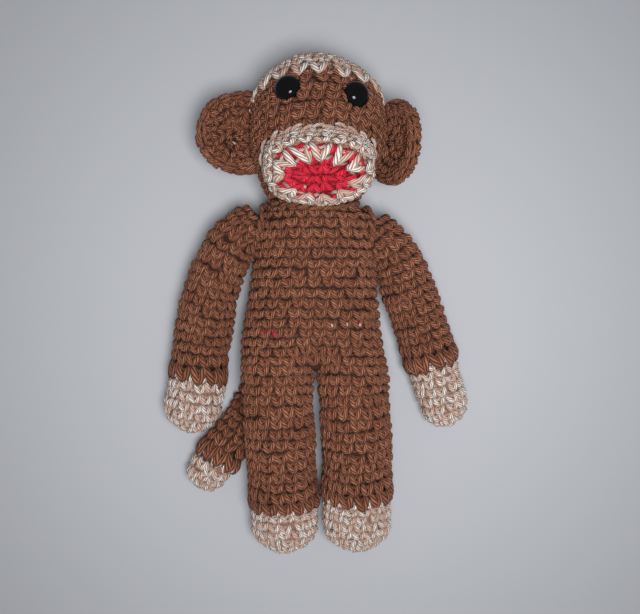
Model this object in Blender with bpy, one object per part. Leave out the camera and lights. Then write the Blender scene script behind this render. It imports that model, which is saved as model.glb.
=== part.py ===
"""A crocheted sock monkey doll, lying on its back on a table.

+Z points up out of the chest, +Y towards the head, and +X to the doll's own left side.
The origin is on the table under the middle of the doll. All sizes are in metres.
Each stuffed form is a crocheted shell with an opening at its sewn end, and a stuffing core.
"""
import math

import bpy
from mathutils import Matrix, Vector
from mathutils.bvhtree import BVHTree

# Fabric, yarn and clearances
GAP = 0.0003
WALL = 0.0030
FILL_GAP = 0.0005
SEAM_YARN_RADIUS = 0.0010
TABLE_CUT_REACH = 0.4000

# Torso: the seat is the open lower rim, and the shoulders run up into a ball-shaped neck dome
TORSO_LENGTH = 0.0748
TORSO_HALF_WIDTH = 0.0328
TORSO_HALF_DEPTH = 0.0255
TORSO_X = -0.0013
TORSO_Z = 0.0250
SEAT_Y = -0.0288
NECK_X = -0.0012
NECK_Y = 0.0372
NECK_Z = 0.0243
NECK_BALL_RADIUS = 0.0270

# Head: a ball whose lower part narrows to the neck, and whose rounds fan back towards the cap
HEAD_X = 0.0018
HEAD_Y = 0.0929
HEAD_Z = 0.0343
HEAD_RADIUS = 0.0348
HEAD_CROWN_LENGTH = 0.0352
HEAD_JAW_LENGTH = 0.0520
HEAD_NECK_REACH = 0.0420
CAP_START = 0.0080
CAP_TILT = math.radians(30)
NECK_TILT = math.radians(-12)
HEAD_NOD = math.radians(8)
CHEST_GAP = 0.0018

# Muzzle: a cup sewn on the lower face, with its middle a little below the line to the head's middle
MUZZLE_HALF_WIDTH = 0.0264
MUZZLE_HALF_HEIGHT = 0.0191
MUZZLE_DROP = 0.0045
MUZZLE_LENGTH = 0.0118
MUZZLE_ROOT_DEPTH = 0.0170
MUZZLE_TILT = math.radians(36)
MOUTH_HALF_WIDTH = 0.0203
MOUTH_HALF_HEIGHT = 0.0132
MOUTH_DROP = 0.0026
MOUTH_DOME = 0.0028

# Safety eyes: a dome on a stem that a washer locks inside the head
EYE_RADIUS = 0.0060
EYE_HEIGHT = 0.0045
EYE_STEM_RADIUS = 0.0018
EYE_STEM_LENGTH = 0.0095
WASHER_RADIUS = 0.0055
WASHER_THICKNESS = 0.0015
WASHER_SEAT = 0.0024
RIGHT_EYE_OUT = -0.0151
RIGHT_EYE_UP = 0.0120
LEFT_EYE_OUT = 0.0178
LEFT_EYE_UP = 0.0091

# Ears: a turned disc with a thick rim and a hollow front, cut away where the head stands
EAR_RIM_RADIUS = 0.0043
EAR_HALF_HEIGHT = 0.0232
EAR_HALF_WIDTH = 0.0232
EAR_ROOT_DEPTH = 0.0003
EAR_OVERHANG = 0.0042
EAR_FLAP = math.radians(20)
RIGHT_EAR_DROP = 0.0054
RIGHT_EAR_TURN = math.radians(8)
LEFT_EAR_DROP = 0.0108
LEFT_EAR_TURN = math.radians(42)

# Arms: each starts in a ball sewn at the shoulder
ARM_LENGTH = 0.1160
ARM_HALF_WIDTH = 0.0135
SHOULDER_Y = 0.0388
SHOULDER_Z = 0.0250
SHOULDER_BALL_RADIUS = 0.0128
RIGHT_SHOULDER_X = -0.0355
LEFT_SHOULDER_X = 0.0345
HAND_DOME = 0.0140
ARM_SIDE_GAP = 0.0010
SHOULDER_SEAM_REACH = 0.0170
SHOULDER_SEAM_LIFT = 0.0009

# Legs: each starts in a ball inside the band of rounds that folds at the hip
LEG_LENGTH = 0.0695
LEG_HALF_WIDTH = 0.0182
HIP_BALL_RADIUS = 0.0182
HIP_DROP = 0.0158
HIP_Z = 0.0300
RIGHT_HIP_X = -0.0193
LEFT_HIP_X = 0.0194
HIP_BAND_WIDTH = 0.0186
HIP_BAND_DEPTH = 0.0205
HIP_BAND_END = 0.0040
FOOT_DOME = 0.0142

# Tail: flattened under the right leg, and bending where it comes out from there
TAIL_LENGTH = 0.0830
TAIL_HALF_WIDTH = 0.0115
TAIL_X = -0.0120
TAIL_Y = -0.0220
TAIL_Z = 0.0068
TAIL_TIP_DOME = 0.0085
TAIL_BEND = math.radians(12)

# Rounds along and around each form
TORSO_SIDES = 20
HEAD_SIDES = 22
LIMB_SIDES = 14
EAR_SIDES = 20
TORSO_ROUNDS = 8
HEAD_ROUNDS = 7
CAP_ROUNDS = 5
ARM_ROUNDS = 8
LEG_ROUNDS = 6
TAIL_ROUNDS = 10
DOME_ROUNDS = 3
OPENING_SHARE = 0.5
MERGE_SHARE = 0.02

# Half-width, half-depth, sideways drift and rise of the torso from seat to shoulder,
# as shares of its half-width and half-depth
TORSO_SHARES = (
    (0.000, 1.134, 0.804, 0.012, 0.196),
    (0.110, 1.115, 0.860, -0.010, 0.150),
    (0.240, 1.080, 0.930, -0.015, 0.075),
    (0.400, 1.020, 0.985, -0.005, 0.010),
    (0.560, 0.995, 1.000, 0.010, 0.000),
    (0.760, 0.975, 1.000, 0.050, 0.000),
    (0.880, 0.940, 0.995, 0.055, 0.000),
    (1.000, 0.885, 0.985, 0.050, 0.000),
)
# Place across, along and above the shoulder or hip and the two half-widths of each limb's rounds,
# as shares of the limb's length and half-width
RIGHT_ARM_SHARES = (
    (0.000, 0.000, 0.000, 0.948, 0.948),
    (-0.062, -0.058, 0.000, 0.960, 0.960),
    (-0.125, -0.180, -0.012, 0.985, 0.985),
    (-0.163, -0.300, -0.030, 1.000, 1.000),
    (-0.190, -0.440, -0.052, 0.990, 0.990),
    (-0.208, -0.575, -0.070, 0.980, 0.980),
    (-0.222, -0.680, -0.082, 1.010, 1.010),
    (-0.244, -0.786, -0.094, 1.090, 1.070),
)
LEFT_ARM_SHARES = (
    (0.000, 0.000, 0.000, 0.948, 0.948),
    (0.045, -0.055, 0.000, 0.955, 0.955),
    (0.085, -0.160, -0.012, 0.955, 0.955),
    (0.122, -0.290, -0.034, 0.950, 0.955),
    (0.168, -0.420, -0.060, 0.940, 0.945),
    (0.208, -0.560, -0.082, 0.930, 0.930),
    (0.240, -0.660, -0.097, 0.930, 0.930),
    (0.268, -0.770, -0.107, 0.990, 0.970),
)
RIGHT_LEG_SHARES = (
    (0.000, 0.000, 0.000, 1.000, 1.000),
    (0.004, -0.160, -0.004, 1.005, 1.000),
    (0.018, -0.420, -0.050, 0.990, 0.990),
    (0.034, -0.680, -0.125, 0.985, 0.985),
    (0.042, -0.850, -0.170, 0.965, 0.965),
    (0.045, -1.000, -0.190, 0.955, 0.950),
)
LEFT_LEG_SHARES = (
    (0.000, 0.000, 0.000, 1.000, 1.000),
    (0.012, -0.160, -0.006, 1.000, 1.000),
    (0.028, -0.420, -0.060, 0.985, 0.985),
    (0.032, -0.680, -0.130, 0.980, 0.980),
    (0.032, -0.850, -0.172, 0.975, 0.970),
    (0.032, -0.990, -0.189, 0.965, 0.955),
)
TAIL_SHARES = (
    (0.000, 0.000, 0.000, 0.600, 0.600),
    (-0.066, -0.082, -0.026, 0.820, 0.360),
    (-0.139, -0.187, -0.020, 1.000, 0.420),
    (-0.223, -0.337, -0.010, 1.060, 0.480),
    (-0.307, -0.476, 0.008, 1.040, 0.600),
    (-0.410, -0.602, 0.037, 1.010, 0.900),
    (-0.494, -0.717, 0.047, 0.980, 0.970),
    (-0.548, -0.801, 0.041, 0.930, 0.930),
)
# How far along its route, as a share, each limb changes to cream yarn
RIGHT_HAND_START_SHARE = 0.780
LEFT_HAND_START_SHARE = 0.743
RIGHT_FOOT_START_SHARE = 0.797
LEFT_FOOT_START_SHARE = 0.765
TAIL_TIP_START_SHARE = 0.795
TAIL_BEND_SHARE = 0.571
# Place and half-widths of the muzzle's rounds, as shares of its length and half-sizes,
# with the share of the way from the muzzle's drop to the mouth's drop
MUZZLE_SHARES = (
    (-1.20, 0.985, 0.980, 0.0),
    (-0.17, 1.000, 1.000, 0.0),
    (0.42, 0.985, 0.985, 0.2),
    (0.76, 0.920, 0.900, 0.8),
)
# Distance from the ear's middle and rise of its front and back, as shares of the rim's radius
EAR_FRONT_SHARES = ((0.00, -0.35), (0.35, -0.25), (0.62, 0.35), (0.80, 0.90))
EAR_BACK_SHARES = ((0.80, -1.00), (0.40, -1.30))

UP = Vector((0, 0, 1))
BROWN = (0.165, 0.060, 0.026)
CREAM = (0.640, 0.480, 0.390)
RED = (0.560, 0.012, 0.030)
BLACK = (0.008, 0.008, 0.008)
WHITE = (0.750, 0.740, 0.700)


def clear_scene():
    for item in list(bpy.data.objects):
        bpy.data.objects.remove(item, do_unlink=True)


def yarn_material(name, colour, roughness=0.9):
    """Return the Principled material of one yarn or plastic."""
    material = bpy.data.materials.get(name) or bpy.data.materials.new(name)
    material.use_nodes = True
    shader = material.node_tree.nodes["Principled BSDF"]
    shader.inputs["Base Color"].default_value = (*colour, 1)
    shader.inputs["Roughness"].default_value = roughness
    shader.inputs["Metallic"].default_value = 0
    return material


def smooth_row(rows, share):
    """Read a table of numbers at a share of its length along a smooth curve through its rows."""
    spans = len(rows) - 1
    place = min(max(share, 0), 1) * spans
    first = min(int(place), spans - 1)
    part = place - first
    before, here, there, after = (
        rows[min(max(first + step, 0), spans)] for step in (-1, 0, 1, 2)
    )
    values = []
    for a, b, c, d in zip(before, here, there, after):
        values.append(
            0.5 * (2 * b + (c - a) * part + (2 * a - 5 * b + 4 * c - d) * part**2
                   + (3 * b - a - 3 * c + d) * part**3)
        )
    return values


def ring(centre, forward, half_width, half_depth, sides):
    """Return one closed round of points, anticlockwise about forward."""
    across = UP.cross(forward).normalized()
    above = forward.cross(across).normalized()
    points = []
    for side in range(sides):
        angle = math.tau * (side + 0.5) / sides
        points.append(
            centre + across * half_width * math.cos(angle) + above * half_depth * math.sin(angle)
        )
    return points


def skin(name, rings, closed_ends=True):
    """Return a closed object whose surface runs through the rings.

    Its ends are closed to a point, or else the last ring joins up with the first.
    """
    sides = len(rings[0])
    points = [point for one_ring in rings for point in one_ring]
    faces = []
    for row in range(len(rings) - closed_ends):
        low, high = row * sides, (row + 1) % len(rings) * sides
        for side in range(sides):
            after = (side + 1) % sides
            faces.append((low + side, low + after, high + after, high + side))
    if closed_ends:
        for row in (0, len(rings) - 1):
            pole = len(points)
            points.append(sum(rings[row], Vector()) / sides)
            for side in range(sides):
                after = (side + 1) % sides
                pair = (row * sides + side, row * sides + after)
                faces.append((pole, *(pair if row else reversed(pair))))
    mesh = bpy.data.meshes.new(name)
    mesh.from_pydata([tuple(point) for point in points], [], faces)
    mesh.update()
    mesh.shade_smooth()
    item = bpy.data.objects.new(name, mesh)
    bpy.context.scene.collection.objects.link(item)
    return item


def as_piece(item, material):
    item.data.materials.append(material)
    return item


def as_cutter(item):
    item.hide_render = True
    item.display_type = "WIRE"
    return item


def shell(name, outer, inner, closed_end=True):
    """Return a wall of fabric between two rows of rings, open at its start or at both ends."""
    return skin(name, list(reversed(inner)) + outer, closed_end)


def cut(item, *cutters):
    for cutter in cutters:
        away = item.modifiers.new(cutter.name, "BOOLEAN")
        away.operation = "DIFFERENCE"
        away.solver = "EXACT"
        away.object = cutter
    return item


def turn_about(item, centre, angle, axis):
    """Turn an object's mesh about a point."""
    item.data.transform(Matrix.Translation(centre) @ Matrix.Rotation(angle, 4, axis)
                        @ Matrix.Translation(-centre))


def ball(name, centre, radius, half_height=None, forward=Vector((0, 1, 0)), rings=12, sides=24):
    """Return a closed ball for cutting sockets, flattened where it has its own half-height."""
    rounds = []
    for row in range(1, rings):
        angle = math.pi * row / rings
        rounds.append(ring(centre - forward * radius * math.cos(angle), forward,
                           radius * math.sin(angle), (half_height or radius) * math.sin(angle),
                           sides))
    item = skin(name, rounds)
    for index, way in ((-2, -1), (-1, 1)):
        item.data.vertices[len(item.data.vertices) + index].co = centre + forward * radius * way
    return as_cutter(item)


def table_cutter():
    """Return the block that cuts each resting form flat where it lies on the table."""
    bpy.ops.mesh.primitive_cube_add(size=TABLE_CUT_REACH, location=(0, 0, -TABLE_CUT_REACH / 2))
    block = bpy.context.object
    block.name = "table_cutter"
    return as_cutter(block)


class Limb:
    """A stuffed tube: a ball where it starts, rounds along a route, and a domed end."""

    def __init__(self, root, length, half_width, shares, dome_length, rounds, start=0.0):
        self.root = Vector(root)
        self.start = start
        self.length = length
        self.half_width = half_width
        self.shares = shares
        self.dome_length = dome_length
        self.rounds = rounds

    def centre(self, share):
        row = smooth_row(self.shares, share)
        return self.root + Vector(row[:3]) * self.length

    def forward(self, share):
        step = 0.5 / self.rounds
        before, after = max(share - step, 0), min(share + step, 1)
        return (self.centre(after) - self.centre(before)).normalized()

    def half_sizes(self, share, inflate):
        row = smooth_row(self.shares, share)
        return row[3] * self.half_width + inflate, row[4] * self.half_width + inflate

    def root_dome(self, inflate, opening_share):
        """Rounds of the ball at the start, from its opening to the first round of the tube."""
        wide, deep = self.half_sizes(self.start, inflate)
        first = math.asin(opening_share) if opening_share else math.radians(16)
        forward = self.forward(self.start)
        rounds = []
        for row in range(DOME_ROUNDS):
            angle = first + (math.pi / 2 - first) * row / DOME_ROUNDS
            centre = self.centre(self.start) - forward * wide * math.cos(angle)
            rounds.append(ring(centre, forward, wide * math.sin(angle), deep * math.sin(angle),
                               LIMB_SIDES))
        return rounds

    def tube(self, inflate, start=None, stop=1.0):
        """Rounds along the route at even shares, with one at its start and one at its stop."""
        start = self.start if start is None else start
        shares = [row / self.rounds for row in range(self.rounds + 1)]
        between = [share for share in shares if start < share - MERGE_SHARE < stop - 2 * MERGE_SHARE]
        return [ring(self.centre(share), self.forward(share), *self.half_sizes(share, inflate),
                     LIMB_SIDES) for share in (start, *between, stop)]

    def end_dome(self, inflate):
        wide, deep = self.half_sizes(1, inflate)
        reach = self.dome_length + inflate
        rounds = []
        for row in range(1, DOME_ROUNDS + 1):
            angle = math.radians(78) * row / DOME_ROUNDS
            centre = self.centre(1) + self.forward(1) * reach * math.sin(angle)
            rounds.append(ring(centre, self.forward(1), wide * math.cos(angle),
                               deep * math.cos(angle), LIMB_SIDES))
        return rounds

    def solid(self, name, inflate=0.0, stop=None):
        """A closed form of the whole limb, or of its part up to a flat stop."""
        rounds = self.root_dome(inflate, 0) + self.tube(inflate, stop=stop or 1.0)
        return skin(name, rounds if stop else rounds + self.end_dome(inflate))

    def upper(self, name, stop):
        """The brown fabric, from the sewn opening to the change of yarn."""
        stop -= GAP / 2 / self.length
        outer, inner = (
            self.root_dome(inflate, OPENING_SHARE) + self.tube(inflate, stop=stop)
            for inflate in (0, -WALL)
        )
        return shell(name, outer, inner, closed_end=False)

    def lower(self, name, start):
        """The cream fabric, from the change of yarn to the closed end."""
        start += GAP / 2 / self.length
        outer, inner = (
            self.tube(inflate, start, 1) + self.end_dome(inflate) for inflate in (0, -WALL)
        )
        return shell(name, outer, inner)

    def stuffing(self, name, stop=None):
        return self.solid(name, -(WALL + FILL_GAP), stop)


def torso_rings(inflate, deep_share=1.0):
    """Rounds of the torso from the seat up over the shoulders and the neck dome."""
    neck = Vector((NECK_X, NECK_Y, NECK_Z))
    rounds = []
    for row in range(TORSO_ROUNDS + 1):
        along, wide, deep, drift, rise = smooth_row(TORSO_SHARES, row / TORSO_ROUNDS)
        centre = Vector((TORSO_X + drift * TORSO_HALF_WIDTH, SEAT_Y + along * TORSO_LENGTH,
                         TORSO_Z + rise * TORSO_HALF_DEPTH))
        rounds.append(ring(centre, Vector((0, 1, 0)), wide * TORSO_HALF_WIDTH + inflate,
                           (deep * TORSO_HALF_DEPTH + inflate) * deep_share, TORSO_SIDES))
    for degrees in (66, 55, 44, 33, 21, 9):
        angle = math.radians(degrees)
        reach = NECK_BALL_RADIUS + inflate
        rounds.append(ring(neck + Vector((0, reach * math.cos(angle), 0)), Vector((0, 1, 0)),
                           reach * math.sin(angle), reach * math.sin(angle) * deep_share,
                           TORSO_SIDES))
    return rounds


def head_ring(along, inflate):
    """One round of the head, along being its distance from the head's middle towards the cap."""
    share = (along + HEAD_NECK_REACH) / (CAP_START + HEAD_NECK_REACH)
    tilt = NECK_TILT + (CAP_TILT - NECK_TILT) * min(max(share, 0), 1)
    forward = Vector((0, math.cos(tilt), -math.sin(tilt)))
    half_length = (HEAD_CROWN_LENGTH if along > 0 else HEAD_JAW_LENGTH) + inflate
    wide = (HEAD_RADIUS + inflate) * math.sqrt(max(1 - (along / half_length) ** 2, 0))
    lean = (NECK_X - HEAD_X) * (min(along, 0) / HEAD_NECK_REACH) ** 2
    centre = Vector((HEAD_X + lean, HEAD_Y, HEAD_Z)) + forward * along
    return ring(centre, forward, wide, wide, HEAD_SIDES)


def head_rings(start, stop, count, inflate=0.0):
    return [head_ring(start + (stop - start) * row / count, inflate) for row in range(count + 1)]


def cap_rings(start, inflate=0.0):
    """Rounds of the head's top, closer together towards the crown."""
    first = math.asin(start / (HEAD_CROWN_LENGTH + inflate))
    rounds = []
    for row in range(CAP_ROUNDS + 1):
        angle = first + (math.radians(82) - first) * row / CAP_ROUNDS
        rounds.append(head_ring((HEAD_CROWN_LENGTH + inflate) * math.sin(angle), inflate))
    return rounds


def head_solid(name, inflate=0.0):
    rounds = head_rings(-HEAD_NECK_REACH, CAP_START, HEAD_ROUNDS, inflate)
    return skin(name, rounds + cap_rings(CAP_START, inflate)[1:])


def face_axes():
    """Return the muzzle's outward direction and the direction up the face beside it."""
    outward = Vector((0, -math.sin(MUZZLE_TILT), math.cos(MUZZLE_TILT)))
    return outward, Vector((0, math.cos(MUZZLE_TILT), math.sin(MUZZLE_TILT)))


def face_ring(along, half_width, half_height, drop, sides=24):
    """One round about the muzzle's axis, along being its distance outside the head's surface."""
    outward, up_face = face_axes()
    centre = Vector((HEAD_X, HEAD_Y, HEAD_Z)) + outward * (HEAD_RADIUS + along) - up_face * drop
    points = []
    for side in range(sides):
        angle = math.tau * side / sides
        points.append(centre + Vector((1, 0, 0)) * half_width * math.cos(angle)
                      + up_face * half_height * math.sin(angle))
    return points


def muzzle_rings(inflate):
    """Rounds of the muzzle's side, from inside the head to the edge of the mouth."""
    rounds = []
    for place, wide, high, shift in MUZZLE_SHARES:
        along = place * (MUZZLE_LENGTH + inflate if place > 0 else MUZZLE_ROOT_DEPTH)
        drop = MUZZLE_DROP + (MOUTH_DROP - MUZZLE_DROP) * shift
        rounds.append(face_ring(along, wide * MUZZLE_HALF_WIDTH + inflate,
                                high * MUZZLE_HALF_HEIGHT + inflate, drop))
    rounds.append(face_ring(MUZZLE_LENGTH + inflate, MOUTH_HALF_WIDTH, MOUTH_HALF_HEIGHT,
                            MOUTH_DROP))
    return rounds


def mouth_rings(inflate):
    """Rounds of the mouth's low dome, from its edge to near its middle."""
    rounds = []
    for degrees in (0, 25, 45, 60, 75):
        angle = math.radians(degrees)
        rounds.append(face_ring(MUZZLE_LENGTH + inflate + MOUTH_DOME * math.sin(angle),
                                (MOUTH_HALF_WIDTH - GAP) * math.cos(angle),
                                (MOUTH_HALF_HEIGHT - GAP) * math.cos(angle), MOUTH_DROP))
    return rounds


def world_tree(item):
    """Return a search tree of an object's finished surface."""
    depsgraph = bpy.context.evaluated_depsgraph_get()
    return BVHTree.FromObject(item, depsgraph)


def clearance(tree, point):
    """Distance from a point to a surface, below zero inside it."""
    place, normal, _, distance = tree.find_nearest(point)
    return distance if (point - place).dot(normal) > 0 else -distance


def rod(name, centre, axis, radii_and_places, sides=20):
    """Return a turned closed solid on an axis, from pairs of radius and place along it."""
    turn = axis.to_track_quat("Z", "Y").to_matrix()
    rounds = []
    for radius, place in radii_and_places:
        rounds.append([
            centre + turn @ Vector((radius * math.cos(math.tau * side / sides),
                                    radius * math.sin(math.tau * side / sides), place))
            for side in range(sides)
        ])
    return skin(name, rounds)


def eye(side_name, out, up, materials, head_parts, stuffing, head_form):
    """Model one safety eye and its washer, and cut its stem's hole and the washer's pocket."""
    height = math.sqrt(HEAD_RADIUS**2 - out**2 - up**2)
    line = Vector((out, up, height)).normalized()
    start = Vector((HEAD_X, HEAD_Y, HEAD_Z)) + line * HEAD_RADIUS * 2
    seat, axis, _, _ = world_tree(head_form).ray_cast(start, -line)
    dome = []
    for degrees in (0, 20, 40, 58, 74):
        angle = math.radians(degrees)
        dome.append((EYE_RADIUS * math.cos(angle), EYE_HEIGHT * math.sin(angle)))
    stem = [(EYE_STEM_RADIUS, -EYE_STEM_LENGTH), (EYE_STEM_RADIUS, 0)]
    as_piece(rod(side_name + "_eye", seat, axis, stem + dome), materials["black"])
    hole = as_cutter(rod(side_name + "_eye_hole", seat, axis, (
        (EYE_STEM_RADIUS + GAP, -EYE_STEM_LENGTH - GAP), (EYE_STEM_RADIUS + GAP, GAP)), 12))
    for part in head_parts:
        cut(part, hole)
    top = -WALL - WASHER_SEAT
    washer = rod(side_name + "_eye_washer", seat, axis, (
        (WASHER_RADIUS, top - WASHER_THICKNESS), (WASHER_RADIUS, top)), 16)
    cut(as_piece(washer, materials["white"]), hole)
    pocket = as_cutter(rod(side_name + "_eye_pocket", seat, axis, (
        (WASHER_RADIUS + GAP, -EYE_STEM_LENGTH - 2 * GAP), (WASHER_RADIUS + GAP, 0)), 16))
    cut(stuffing, pocket)


def ear(side_name, side, drop, turn_angle, materials, head_cutter):
    """Model one ear and cut it where the head stands, at rest and at both ends of its flap."""
    root = Vector((HEAD_X + side * (HEAD_RADIUS - EAR_ROOT_DEPTH), HEAD_Y - drop, HEAD_Z))
    turn = Matrix.Rotation(-side * turn_angle, 3, "Y")
    reach = EAR_ROOT_DEPTH + EAR_OVERHANG
    profile = [(share, rise) for share, rise in EAR_FRONT_SHARES]
    for degrees in (60, 25, -10, -45):
        angle = math.radians(degrees)
        rim = EAR_RIM_RADIUS / EAR_HALF_WIDTH
        profile.append((1 - rim + rim * math.cos(angle), math.sin(angle)))
    profile += [(share, rise) for share, rise in EAR_BACK_SHARES]
    rounds = []
    for share, rise in reversed(profile[1:]):
        points = []
        for step in range(EAR_SIDES):
            angle = math.tau * step / EAR_SIDES
            local = Vector((side * reach + EAR_HALF_WIDTH * share * math.cos(angle),
                            EAR_HALF_HEIGHT * share * math.sin(angle), rise * EAR_RIM_RADIUS))
            points.append(root + turn @ local)
        rounds.append(points)
    item = as_piece(skin(side_name + "_ear", rounds), materials["brown"])
    for name, flap in (("rest", 0), ("forward", EAR_FLAP), ("back", -EAR_FLAP)):
        cutter = head_cutter.copy()
        cutter.data = head_cutter.data.copy()
        cutter.name = f"{side_name}_ear_{name}_cutter"
        bpy.context.scene.collection.objects.link(cutter)
        turn_about(cutter, root, flap, "Y")
        cut(item, as_cutter(cutter))
    return item


def crease_seam(name, middle, outward, base, piece, reach, material, steps=36, gap=GAP):
    """Lay sewing yarn in the crease where a piece stands on its base, seen along outward.

    The yarn is a loop, or an arc that ends where the piece lies against its base beyond the reach.
    """
    base_tree, piece_tree = world_tree(base), world_tree(piece)
    lift = SEAM_YARN_RADIUS + gap
    turn = outward.to_track_quat("Z", "Y").to_matrix()
    points, hidden = [], []
    for step in range(steps):
        around = math.tau * step / steps
        spoke = turn @ Vector((math.cos(around), math.sin(around), 0))
        near, far = 0.0, reach
        for _ in range(24):
            radius = (near + far) / 2
            start = middle + spoke * radius + outward * reach * 2
            place, normal, _, _ = base_tree.ray_cast(start, -outward)
            point = place + normal * lift
            if clearance(piece_tree, point) > lift:
                far = radius
            else:
                near = radius
        points.append(point)
        if far == reach:
            hidden.append(step)
    if hidden:
        first = next(step for step in hidden if (step + 1) % steps not in hidden)
        order = [(first + 1 + step) % steps for step in range(steps)]
        points = [points[step] for step in order if step not in hidden]
    return yarn(name, points, material, not hidden)


def yarn(name, points, material, is_loop):
    """Return a length of sewing yarn through the points."""
    curve = bpy.data.curves.new(name, "CURVE")
    curve.dimensions = "3D"
    curve.bevel_depth = SEAM_YARN_RADIUS
    curve.bevel_resolution = 1
    curve.use_fill_caps = not is_loop
    spline = curve.splines.new("POLY")
    spline.points.add(len(points) - 1)
    for spot, point in zip(spline.points, points):
        spot.co = (*point, 1)
    spline.use_cyclic_u = is_loop
    item = bpy.data.objects.new(name, curve)
    bpy.context.scene.collection.objects.link(item)
    curve.materials.append(material)
    return item


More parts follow.
